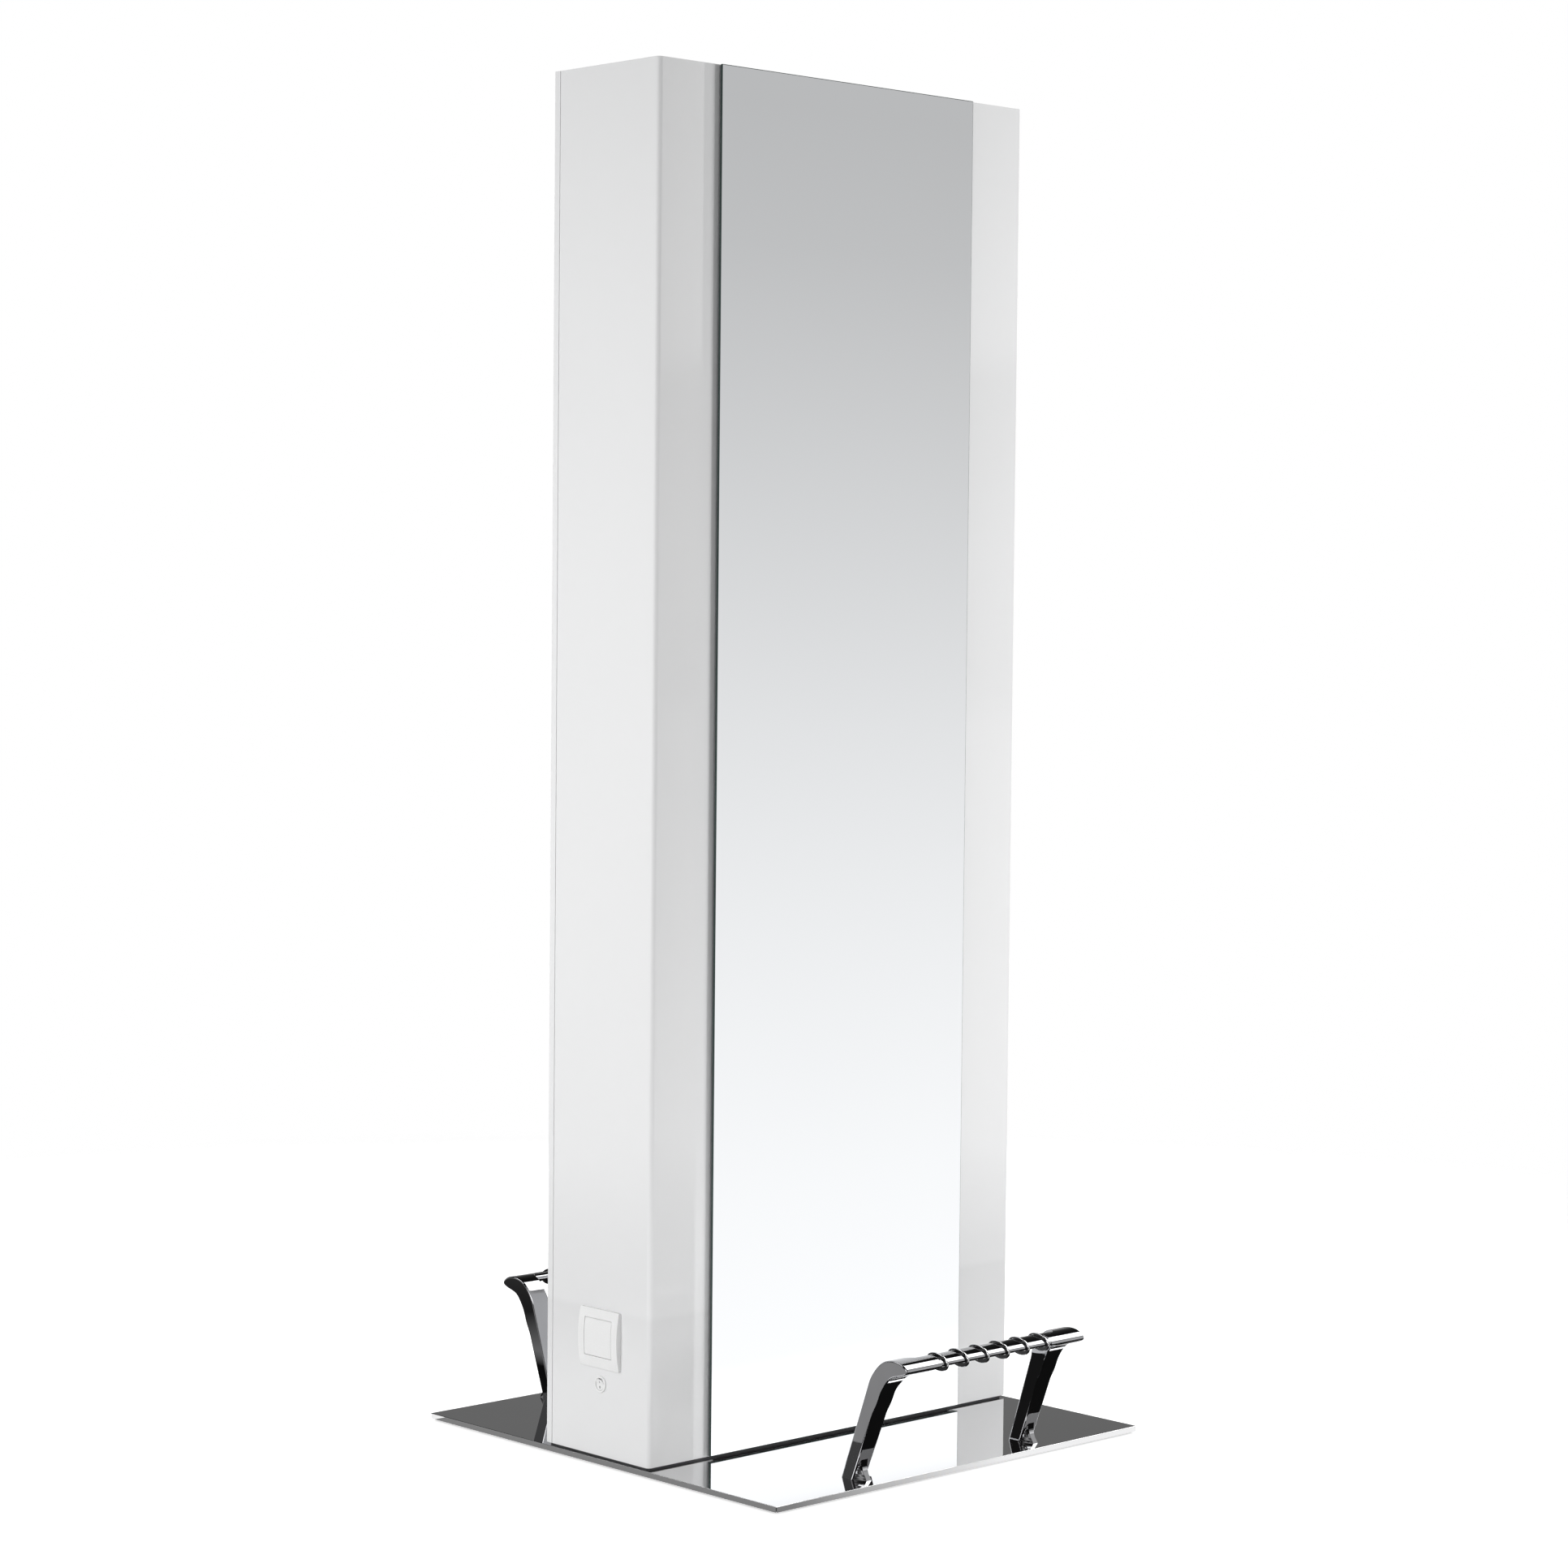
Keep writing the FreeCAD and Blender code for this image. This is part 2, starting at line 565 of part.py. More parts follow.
def shelf():
    """Floor of the lamp space: it rests on the covers and hangs by a flange on the uprights."""
    x = -RAIL_HALF
    plate = box(-INNER_X, x, -INNER_Y, INNER_Y, SHELF_BOTTOM, SHELF_TOP)
    flange = box(x - SHELF_SHEET, x, -UPRIGHT_Y, UPRIGHT_Y, SHELF_TOP - SHELF_FLANGE, SHELF_TOP)
    batten_back = -INNER_X + COVER_SHEET + LEAD_PLAY
    notch = box(-INNER_X, batten_back, SEAM_Y - SEAM_BATTEN_WIDTH, INNER_Y, 0, SHELF_TOP)
    corner = box(-INNER_X, COVER_BEND - INNER_X, -INNER_Y, COVER_BEND - INNER_Y, 0, SHELF_TOP)
    hole = rod(LEAD_DIAMETER / 2 + LEAD_PLAY, (-LAMP_LEAD_X, SWITCH_Y, 0), (0, 0, 1), SHELF_TOP)
    return plate.fuse(flange).removeSplitter().cut([notch, corner, hole])


def lamp_batten():
    face = -BATTEN_FACE
    half = BATTEN_WIDTH / 2
    channel = box(face, -REFLECTOR_FACE, -half, half, BATTEN_BOTTOM, BATTEN_TOP)
    inner = half - BATTEN_SHEET
    return channel.cut(box(face + BATTEN_SHEET, 0, -inner, inner, BATTEN_BOTTOM - 1, BATTEN_TOP + 1))


BALLAST_BOTTOM = BATTEN_BOTTOM + BALLAST_FROM_END


def ballast():
    half = BALLAST_WIDTH / 2
    top = BALLAST_BOTTOM + BALLAST_LENGTH
    return box(-REFLECTOR_FACE - BALLAST_DEPTH, -REFLECTOR_FACE, -half, half, BALLAST_BOTTOM, top)


def lampholders():
    """A holder below and one above the tube, with blind holes for its pins."""
    holders = []
    half = HOLDER_WIDTH / 2
    pin_room = TUBE_PIN_DIAMETER / 2 + SCREW_GAP
    depth = TUBE_PIN_LENGTH + SCREW_GAP
    for bottom in (TUBE_BOTTOM - HOLDER_THICKNESS, TUBE_TOP):
        top = bottom + HOLDER_THICKNESS
        holder = box(-TUBE_X, -BATTEN_FACE, -half, half, bottom, top)
        crown = rod(HOLDER_CROWN, (-TUBE_X, 0, bottom), (0, 0, 1), HOLDER_THICKNESS)
        holder = holder.fuse(crown).removeSplitter()
        start = TUBE_BOTTOM - depth if bottom < TUBE_BOTTOM else TUBE_TOP
        for sy in (-1, 1):
            holder = holder.cut(rod(pin_room, (-TUBE_X, sy * TUBE_PIN_SPACING / 2, start), (0, 0, 1), depth))
        holders.append(holder)
    return holders


def lamp_tube():
    """A glass tube with a metal cap and two pins at each end."""
    radius = TUBE_DIAMETER / 2
    tube = rod(radius - TUBE_CAP_STEP, (-TUBE_X, 0, TUBE_BOTTOM), (0, 0, 1), TUBE_LENGTH)
    ends = [rod(radius, (-TUBE_X, 0, z), (0, 0, 1), radius) for z in (TUBE_BOTTOM, TUBE_TOP - radius)]
    for z in (TUBE_BOTTOM - TUBE_PIN_LENGTH, TUBE_TOP):
        for y in (-TUBE_PIN_SPACING / 2, TUBE_PIN_SPACING / 2):
            ends.append(rod(TUBE_PIN_DIAMETER / 2, (-TUBE_X, y, z), (0, 0, 1), TUBE_PIN_LENGTH))
    return tube.fuse(ends).removeSplitter()


# ---------------------------------------------------------------- socket on the left end
CROWN_X = outward(SOCKET_PROUD) + CROWN_RADIUS       # axis of the crowned face
PIN_Z = LID_TOP - KNUCKLE_RADIUS
PIN_X = CROWN_X - math.sqrt((CROWN_RADIUS - LID_SINK - KNUCKLE_RADIUS) ** 2 - (PIN_Z - SOCKET_Z) ** 2)
INSERT_FRONT = BRIDGE_SHEET + INSERT_SHEET
INSERT_TOP = PIN_Z - KNUCKLE_RADIUS - LID_GAP
CUP_BACK = INSERT_FRONT - CUP_DEPTH - CUP_FLOOR
CLIP_INNER = CUP_DIAMETER / 2 - CLIP_PROUD - CLIP_SHEET
CUP_OUTER = CUP_DIAMETER / 2 + CUP_WALL
CLIP_OUTER = CUP_OUTER + CLIP_OFF


def around_socket(u0, u1, half_y, half_z):
    """A block centred on the socket, from u0 to u1 outside the face of the cover."""
    return box(outward(u1), outward(u0), SOCKET_Y - half_y, SOCKET_Y + half_y,
               SOCKET_Z - half_z, SOCKET_Z + half_z)


def crown(sink):
    """Everything below the crowned face, let down by sink."""
    start = (CROWN_X, SOCKET_Y - SOCKET_FRAME, SOCKET_Z)
    return rod(CROWN_RADIUS - sink, start, (0, 1, 0), 2 * SOCKET_FRAME)


def socket_frame():
    half = SOCKET_FRAME / 2
    block = around_socket(0, SOCKET_PROUD + 1, half, half).common(crown(0))
    corners = [e for e in block.Edges if abs(e.tangentAt(e.FirstParameter).x) > 0.99 and e.Length > 1]
    block = block.makeFillet(FRAME_CORNER, corners)
    side = LID_WIDTH / 2 + LID_GAP
    window = box(outward(SOCKET_PROUD + 1), outward(-1), SOCKET_Y - side, SOCKET_Y + side,
                 LID_TOP - LID_HEIGHT - LID_GAP, LID_TOP + LID_GAP)
    pocket = BRIDGE_SIZE / 2 + CAP_GAP
    return block.cut([window, around_socket(-1, BRIDGE_SHEET, pocket, pocket)])


def bridge_screw_places():
    return [SOCKET_Y - BRIDGE_SCREW_Y, SOCKET_Y + BRIDGE_SCREW_Y]


def bridge_screw(y, room):
    """Sunk screw of a bridge, or its hole when there is room round it."""
    radius = BRIDGE_SCREW_DIAMETER / 2 + room
    start = (outward(BRIDGE_SHEET), y, SOCKET_Z)
    head = Part.makeCone(2 * radius, radius, radius, V(*start), V(1, 0, 0))
    shank = rod(radius, start, (1, 0, 0), BRIDGE_SCREW_LENGTH + room)
    return head.fuse(shank).removeSplitter()


def socket_bridge():
    """Steel plate behind the insert, open round the cup and beside the earth clips."""
    half = BRIDGE_SIZE / 2
    start = (outward(2 * BRIDGE_SHEET), SOCKET_Y, SOCKET_Z)
    hole = rod(CUP_OUTER + CUP_ROOM, start, (1, 0, 0), 4 * BRIDGE_SHEET)
    slot = around_socket(-1, BRIDGE_SHEET + 1, CLIP_WIDTH / 2 + CUP_ROOM, CLIP_OUTER + CLIP_SHEET + CUP_ROOM)
    screws = [bridge_screw(y, SCREW_GAP) for y in bridge_screw_places()]
    return around_socket(0, BRIDGE_SHEET, half, half).cut([hole, slot] + screws)


def socket_insert():
    """Cover plate with the round cup for the plug and two ears for the hinge pin."""
    half = LID_WIDTH / 2
    x0, x1 = outward(INSERT_FRONT), outward(BRIDGE_SHEET)
    plate = box(x0, x1, SOCKET_Y - half, SOCKET_Y + half, LID_TOP - LID_HEIGHT, INSERT_TOP)
    ears = []
    for y in (SOCKET_Y - half, SOCKET_Y + half - EAR_WIDTH):
        ears.append(rod(KNUCKLE_RADIUS, (PIN_X, y, PIN_Z), (0, 1, 0), EAR_WIDTH))
        ears.append(box(x0, x1, y, y + EAR_WIDTH, INSERT_TOP - 1, PIN_Z))
    cup = rod(CUP_OUTER, (x0, SOCKET_Y, SOCKET_Z), (1, 0, 0), CUP_DEPTH + CUP_FLOOR)
    body = plate.fuse(ears + [cup]).removeSplitter()
    cuts = [rod(CUP_DIAMETER / 2, (x0, SOCKET_Y, SOCKET_Z), (1, 0, 0), CUP_DEPTH), pin_bore()]
    for sy in (-1, 1):
        start = (x0, SOCKET_Y + sy * PIN_HOLE_SPACING / 2, SOCKET_Z)
        cuts.append(rod(PIN_HOLE_DIAMETER / 2, start, (1, 0, 0), 2 * CUP_DEPTH))
    link = clip_link_depth()
    cuts.append(around_socket(link - CLIP_SHEET - CUP_ROOM, link + CUP_ROOM, CLIP_WIDTH / 2 + CUP_ROOM,
                              CUP_OUTER + 1))
    return body.cut(cuts)


def pin_bore():
    """Running bore for the hinge pin, through the ears and the lid."""
    start = (PIN_X, SOCKET_Y - LID_WIDTH / 2, PIN_Z)
    return rod(LID_PIN_DIAMETER / 2 + PIN_PLAY, start, (0, 1, 0), LID_WIDTH)


def clip_link_depth():
    """Outer side of the short leg of an earth clip, which passes through the wall of the cup."""
    return INSERT_FRONT - CUP_DEPTH + CLIP_SHEET + CLIP_LIFT


def earth_clips():
    """Two brass strips that reach from the contact block through the wall of the cup."""
    clips = []
    link = clip_link_depth()
    half = CLIP_WIDTH / 2
    for sz in (-1, 1):
        def leg(u0, u1, r0, r1):
            low, high = sorted((SOCKET_Z + sz * r0, SOCKET_Z + sz * r1))
            return box(outward(u1), outward(u0), SOCKET_Y - half, SOCKET_Y + half, low, high)
        blade = leg(link - CLIP_SHEET, BRIDGE_SHEET, CLIP_INNER, CLIP_INNER + CLIP_SHEET)
        bridge = leg(link - CLIP_SHEET, link, CLIP_INNER, CLIP_OUTER + CLIP_SHEET)
        tail = leg(CUP_BACK - BLOCK_DEPTH, link, CLIP_OUTER, CLIP_OUTER + CLIP_SHEET)
        clips.append(blade.fuse([bridge, tail]).removeSplitter())
    return group(clips)


def contact_block():
    """Block behind the cup that holds the contacts."""
    block = around_socket(CUP_BACK - BLOCK_DEPTH, CUP_BACK, BLOCK_WIDTH / 2, CLIP_OUTER)
    return block.cut([contact_rod(sy, CONTACT_DIAMETER / 2 + SCREW_GAP, 1) for sy in (-1, 1)])


def contact_rod(side, radius, beyond):
    start = (outward(CUP_BACK), SOCKET_Y + side * PIN_HOLE_SPACING / 2, SOCKET_Z)
    return rod(radius, start, (1, 0, 0), BLOCK_DEPTH + beyond)


def socket_contacts():
    """Two brass sleeves that grip the pins of a plug."""
    return group([contact_rod(sy, CONTACT_DIAMETER / 2, -1).cut(contact_rod(sy, PIN_HOLE_DIAMETER / 2, 1))
                  for sy in (-1, 1)])


def socket_lid():
    """Crowned flap with a knuckle along its top, open for the two ears and the spring."""
    half = LID_WIDTH / 2
    left, right = SOCKET_Y - half, SOCKET_Y + half
    slab = box(outward(SOCKET_PROUD + 1), outward(0), left, right, LID_TOP - LID_HEIGHT, PIN_Z)
    slab = slab.common(crown(LID_SINK)).cut(crown(LID_SINK + LID_SHEET))
    lid = slab.fuse(rod(KNUCKLE_RADIUS, (PIN_X, left, PIN_Z), (0, 1, 0), LID_WIDTH)).removeSplitter()
    reach = KNUCKLE_RADIUS + LID_GAP / 2
    notch = EAR_WIDTH + LID_GAP / 2
    cuts = [rod(reach, (PIN_X, y, PIN_Z), (0, 1, 0), notch) for y in (left, right - notch)]
    low, high = SOCKET_Y - SPRING_POCKET / 2, SOCKET_Y + SPRING_POCKET / 2
    cuts.append(rod(spring_radius() + SPRING_WIRE, (PIN_X, low, PIN_Z), (0, 1, 0), SPRING_POCKET))
    cuts.append(box(PIN_X - SPRING_WIRE, PIN_X + reach, low, high, PIN_Z - reach, PIN_Z + reach))
    return lid.cut(cuts + [pin_bore()])


def lid_pin():
    length = LID_WIDTH - 2 * PIN_INSET
    return rod(LID_PIN_DIAMETER / 2, (PIN_X, SOCKET_Y - length / 2, PIN_Z), (0, 1, 0), length)


def spring_radius():
    """Middle of the wire, from the axis of the pin."""
    return (LID_PIN_DIAMETER + SPRING_WIRE) / 2 + SPRING_PLAY


def lid_spring():
    """A torsion spring round the pin; its straight end stands on the edge of the insert."""
    radius, pitch = spring_radius(), SPRING_PITCH
    coil_path = Part.makeHelix(pitch, pitch * SPRING_TURNS, radius)
    circle = Part.Wire(Part.makeCircle(SPRING_WIRE / 2, V(radius, 0, 0), V(0, 1, 0)))
    coil = Part.Wire(coil_path.Edges).makePipeShell([circle], True, True)
    coil.rotate(V(0, 0, 0), V(1, 0, 0), -90)
    coil.translate(V(PIN_X, SOCKET_Y - pitch * SPRING_TURNS / 2, PIN_Z))
    start = (PIN_X + radius, SOCKET_Y - pitch * SPRING_TURNS / 2, PIN_Z)
    leg = rod(SPRING_WIRE / 2, start, (0, 0, -1), PIN_Z - INSERT_TOP - CAP_GAP)
    return coil.fuse(leg)


def back_box():
    """Box behind the cover, open to the socket, with two posts for the bridge screws."""
    half = PANEL_HOLE / 2
    front, back = -COVER_SHEET, -COVER_SHEET - BOX_DEPTH
    body = around_socket(back, front, half + BOX_WALL, half + BOX_WALL)
    body = body.cut(around_socket(back + BOX_WALL, 1, half, half))
    posts = []
    for sy in (-1, 1):
        inner = sy * (BRIDGE_SCREW_Y - BRIDGE_SCREW_DIAMETER)
        low, high = sorted((SOCKET_Y + inner, SOCKET_Y + sy * half))
        bottom, top = SOCKET_Z - BRIDGE_SCREW_DIAMETER, SOCKET_Z + BRIDGE_SCREW_DIAMETER
        posts.append(box(outward(-POST_GAP), outward(back), low, high, bottom, top))
    body = body.fuse(posts).removeSplitter()
    hole_start = (-SUPPLY_LEAD_X, SUPPLY_LEAD_Y, 0)
    lead_hole = rod(LEAD_DIAMETER / 2 + LEAD_PLAY, hole_start, (0, 0, 1), SOCKET_Z - BRIDGE_SCREW_Y)
    return body.cut([bridge_screw(y, SCREW_GAP) for y in bridge_screw_places()] + [lead_hole])


# ---------------------------------------------------------------- switch on the left end
ROCKER_X = outward(-ROCKER_AXIS_DEPTH)


def switch_rod(radius, u_out, u_in):
    return rod(radius, (outward(u_out), SWITCH_Y, SWITCH_Z), (1, 0, 0), u_out - u_in)


def switch_body():
    """Round body with a rounded bezel, a bore for the rocker and a bearing for its stubs."""
    body = switch_rod(SWITCH_BEZEL / 2, SWITCH_PROUD, 0)
    rim = [e for e in body.Edges if abs(e.CenterOfMass.x - outward(SWITCH_PROUD)) < 0.01]
    body = body.makeFillet(SWITCH_PROUD / 2, rim)
    body = body.fuse(switch_rod(SWITCH_BODY / 2, SWITCH_PROUD / 2, -SWITCH_DEPTH)).removeSplitter()
    body = body.cut(switch_rod(SWITCH_BORE / 2, SWITCH_PROUD + 1, -ROCKER_ROOT - ROCKER_AXIS_DEPTH))
    start = (ROCKER_X, SWITCH_Y - SWITCH_BODY, SWITCH_Z)
    return body.cut(rod(ROCKER_PIN_DIAMETER / 2 + PIN_PLAY, start, (0, 1, 0), 2 * SWITCH_BODY))


def switch_rocker():
    """Round rocker with a shallow valley, lying with its lower side pressed in."""
    radius = ROCKER_DIAMETER / 2
    root = radius * 0.7
    low, high = (-ROCKER_ROOT, -root), (-ROCKER_ROOT, root)
    outline = [low, (ROCKER_CREST, -radius), (ROCKER_VALLEY, 0), (ROCKER_CREST, radius), high, low]
    points = [V(outward(u), SWITCH_Y - radius, SWITCH_Z + w) for u, w in outline]
    rocker = Part.Face(Part.makePolygon(points)).extrude(V(0, 2 * radius, 0))
    rocker = rocker.common(switch_rod(radius, ROCKER_CREST + 1, -ROCKER_ROOT - 1))
    length = SWITCH_BODY - 2 * PIN_PLAY
    stub = rod(ROCKER_PIN_DIAMETER / 2, (ROCKER_X, SWITCH_Y - length / 2, SWITCH_Z), (0, 1, 0), length)
    rocker = rocker.fuse(stub).removeSplitter()
    rocker.rotate(V(ROCKER_X, SWITCH_Y, SWITCH_Z), V(0, 1, 0), -ROCKER_TILT)
    return rocker


# ---------------------------------------------------------------- wiring
def junction_box():
    """Open box over the cable hole, with a hole in each end wall for a lead."""
    x, y = JUNCTION_LENGTH / 2, JUNCTION_WIDTH / 2
    top = BASE_TOP + JUNCTION_HEIGHT
    wall = JUNCTION_WALL
    tray = box(-x, x, -y, y, BASE_TOP, top)
    tray = tray.cut(box(wall - x, x - wall, wall - y, y - wall, BASE_TOP + wall, top + 1))
    lead_hole = rod(LEAD_DIAMETER / 2 + LEAD_PLAY, (-x - 1, SUPPLY_LEAD_Y, LEAD_HEIGHT), (1, 0, 0), wall + 2)
    grommet_hole = rod(GROMMET_FLANGE / 2 + LEAD_PLAY, (0, 0, 0), (0, 0, 1), top - 1)
    return tray.cut([lead_hole, half_turn(lead_hole), grommet_hole])


def junction_lid():
    """Lid with a rim that fits inside the walls of the box."""
    x, y = JUNCTION_LENGTH / 2, JUNCTION_WIDTH / 2
    top = BASE_TOP + JUNCTION_HEIGHT
    inner = JUNCTION_WALL + CAP_GAP
    rim = box(inner - x, x - inner, inner - y, y - inner, top - JUNCTION_WALL, top)
    lid = box(-x, x, -y, y, top, top + JUNCTION_WALL)
    return lid.fuse(rim).removeSplitter()


def terminal_block():
    """Block with a row of screw wells, against one wall of the junction box."""
    inner = JUNCTION_WIDTH / 2 - JUNCTION_WALL
    bottom = BASE_TOP + JUNCTION_WALL
    x, y = TERMINAL_LENGTH / 2, inner - TERMINAL_WIDTH / 2
    block = box(-x, x, inner - TERMINAL_WIDTH, inner, bottom, bottom + TERMINAL_HEIGHT)
    pitch = TERMINAL_LENGTH / TERMINAL_WAYS
    for k in range(TERMINAL_WAYS):
        start = (pitch * (k - (TERMINAL_WAYS - 1) / 2), y, bottom + TERMINAL_HEIGHT / 2)
        block = block.cut(rod(TERMINAL_WELL / 2, start, (0, 0, 1), TERMINAL_HEIGHT))
    return block


def cable_grommet():
    """Rubber grommet in the hole through the base, for a cable that comes up from the floor."""
    waist = rod(GROMMET_WAIST / 2, (0, 0, CORE_BOTTOM), (0, 0, 1), BASE_TOP - CORE_BOTTOM)
    lower = rod(GROMMET_FLANGE / 2, (0, 0, CORE_BOTTOM - GROMMET_LIP), (0, 0, 1), GROMMET_LIP)
    upper = rod(GROMMET_FLANGE / 2, (0, 0, BASE_TOP), (0, 0, 1), GROMMET_LIP)
    bore = rod(GROMMET_BORE / 2, (0, 0, 0), (0, 0, 1), 2 * BASE_TOP)
    return waist.fuse([lower, upper]).removeSplitter().cut(bore)


def lead(points):
    """A round lead along straight runs joined by tangent arcs."""
    corners = [V(*p) for p in points]
    edges, start = [], corners[0]
    for before, corner, after in zip(corners, corners[1:], corners[2:]):
        back, ahead = (before - corner), (after - corner)
        cut = 0.45 * min(back.Length, ahead.Length)
        turn = math.pi - back.getAngle(ahead)
        radius = cut / math.tan(turn / 2)
        back.normalize()
        ahead.normalize()
        first, last = corner + back * cut, corner + ahead * cut
        inward = back + ahead
        inward.normalize()
        middle = corner + inward * (radius / math.cos(turn / 2) - radius)
        edges.append(Part.LineSegment(start, first).toShape())
        edges.append(Part.Arc(first, middle, last).toShape())
        start = last
        print("lead arc radius %.1f mm" % radius)
    edges.append(Part.LineSegment(start, corners[-1]).toShape())
    path = Part.Wire(edges)
    circle = Part.Wire(Part.makeCircle(LEAD_DIAMETER / 2, corners[0], corners[1] - corners[0]))
    tube = path.makePipeShell([circle], True, False)
    print("lead %.0f mm long, volume over section times length %.4f"
          % (path.Length, tube.Volume / (math.pi * LEAD_DIAMETER ** 2 / 4 * path.Length)))
    return tube


def internal_leads():
    """Leads of the left end: junction box to socket, and switch to ballast."""
    inside = JUNCTION_LENGTH / 2 - JUNCTION_WALL - LEAD_INSIDE
    box_floor = SOCKET_Z - PANEL_HOLE / 2
    supply = lead([(-inside, SUPPLY_LEAD_Y, LEAD_HEIGHT), (-SUPPLY_LEAD_X, SUPPLY_LEAD_Y, LEAD_HEIGHT),
                   (-SUPPLY_LEAD_X, SUPPLY_LEAD_Y, box_floor + LEAD_INSIDE)])
    batten_x = -REFLECTOR_FACE - BATTEN_DEPTH / 2
    shift = LAMP_LEAD_X + batten_x
    rise = BATTEN_BOTTOM - BATTEN_DEPTH
    switch_end = outward(-SWITCH_DEPTH)
    lamp = lead([(switch_end, SWITCH_Y, SWITCH_Z), (-LAMP_LEAD_X, SWITCH_Y, SWITCH_Z),
                 (-LAMP_LEAD_X, SWITCH_Y, rise - shift), (batten_x, SWITCH_Y, rise),
                 (batten_x, SWITCH_Y, BALLAST_BOTTOM)])
    return group([supply, lamp])


def lead_clip():
    """Block on the base that holds a supply lead half way."""
    half = CLIP_BLOCK / 2
    x, y = -(JUNCTION_LENGTH / 2 + SUPPLY_LEAD_X) / 2, SUPPLY_LEAD_Y
    block = box(x - half, x + half, y - half, y + half, BASE_TOP, LEAD_HEIGHT + half)
    bore = rod(LEAD_DIAMETER / 2 + SCREW_GAP, (x - CLIP_BLOCK, y, LEAD_HEIGHT), (1, 0, 0), 2 * CLIP_BLOCK)
    return block.cut(bore)


# ---------------------------------------------------------------- footrest at the front
LEG_INNER_X = LEG_SPAN / 2 - LEG_WIDTH
BAR_END_X = LEG_INNER_X - HUB_LENGTH
FLARE_END_X = BAR_END_X + FLARE_SHORT
HEAD_Z = BASE_TOP + LEG_HEAD_HEIGHT
BAR_Z = HEAD_Z - BAR_BELOW_HEAD


def head_point(x, forward, down):
    """A point of a leg: forward of its back edge at the base, and down from the top of its head."""
    return V(x, -LEG_FOOT_Y - forward, HEAD_Z - down)


HEAD_BACK = (50.1, 38.0)        # where the straight back edge ends
HEAD_FRONT = (58.4, 86.0)       # where the straight front edge starts
# the smooth head is pulled towards these points
HEAD_PULLS = ((59.6, 20.4), (74.9, 4.8), (92.4, 0.4), (115.2, 0.6), (133.4, 16.6), (98.3, 23.2),
              (88.0, 30.5), (73.9, 50.2), (69.2, 67.5))
HEAD_LEAD_IN = 6.0              # first and last pull, in line with the straight edges


def leg_outline(x):
    """Side view of a leg: it leans away from the mirror and ends in a nose that hangs forward."""
    heel = V(x, -LEG_FOOT_Y, BASE_TOP)
    ball = V(x, -LEG_FOOT_Y - LEG_FOOT_THICKNESS, BASE_TOP)
    back_top, front_top = head_point(x, *HEAD_BACK), head_point(x, *HEAD_FRONT)
    after_back = back_top + (back_top - heel).normalize() * HEAD_LEAD_IN
    before_front = front_top + (front_top - ball).normalize() * HEAD_LEAD_IN
    pulls = [head_point(x, *place) for place in HEAD_PULLS]
    head = Part.BSplineCurve()
    head.buildFromPoles([back_top, after_back] + pulls + [before_front, front_top], False, 3)
    edges = [Part.LineSegment(heel, back_top), head, Part.LineSegment(front_top, ball),
             Part.LineSegment(ball, heel)]
    return Part.Wire([edge.toShape() for edge in edges])


def hollow_corner(start, corner, end, pull):
    """Curve from start to end that leaves and arrives in line with the corner."""
    curve = Part.BezierCurve()
    curve.setPoles([start, start + (corner - start) * pull, end + (corner - end) * pull, end])
    return curve.toShape()


def leg_front_view():
    """Front view of the right leg: its sides lean in and the inner one flares out to the bar."""
    outer, inner = LEG_SPAN / 2, LEG_INNER_X
    end_down, start_down = FLARE_BELOW_HEAD
    start_x = inner - LEG_INNER_LEAN * (1 - start_down / LEG_HEAD_HEIGHT)
    start, end = V(start_x, 0, HEAD_Z - start_down), V(FLARE_END_X, 0, HEAD_Z - end_down)
    corner = V(start_x, 0, HEAD_Z - end_down)
    straight = Part.makePolygon([end, V(FLARE_END_X, 0, HEAD_Z), V(outer - LEG_OUTER_LEAN, 0, HEAD_Z),
                                 V(outer, 0, BASE_TOP), V(inner, 0, BASE_TOP), start])
    face = Part.Face(Part.Wire(straight.Edges + [hollow_corner(start, corner, end, FLARE_PULL)]))
    return face.extrude(V(0, -BASE_WIDTH, 0))


def leg_top_view():
    """Top view of the right leg: behind the bar its head narrows towards the collar."""
    outer, inner = LEG_SPAN / 2, LEG_INNER_X - LEG_INNER_LEAN
    front = -LEG_FOOT_Y - BAR_FORWARD - 2 * BAR_HALF_DEPTH
    end_y, start_y = (-LEG_FOOT_Y - forward for forward in FLARE_FORWARD)
    start, end, corner = V(inner, start_y, 0), V(FLARE_END_X, end_y, 0), V(inner, end_y, 0)
    straight = Part.makePolygon([end, V(FLARE_END_X, front, 0), V(outer, front, 0), V(outer, 0, 0),
                                 V(inner, 0, 0), start])
    face = Part.Face(Part.Wire(straight.Edges + [hollow_corner(start, corner, end, FLARE_BACK_PULL)]))
    return face.extrude(V(0, 0, 2 * HEAD_Z))


def front_face_y(z):
    """Y of the straight front face of a leg at height z."""
    forward, down = HEAD_FRONT
    lean = (forward - LEG_FOOT_THICKNESS) / (LEG_HEAD_HEIGHT - down)
    return -LEG_FOOT_Y - LEG_FOOT_THICKNESS - lean * (z - BASE_TOP)


def toe(x):
    """Hollow-backed spur in front of the foot of a leg."""
    sections = []
    for height, reach, tip, root in TOE_SECTIONS:
        z = BASE_TOP + height
        back, front = front_face_y(z) + TOE_ROOT, -LEG_FOOT_Y - LEG_FOOT_THICKNESS - reach
        corners = [V(x - root, back, z), V(x - tip, front, z), V(x + tip, front, z), V(x + root, back, z)]
        sections.append(Part.makePolygon(corners + corners[:1]))
    return Part.makeLoft(sections, True, True)


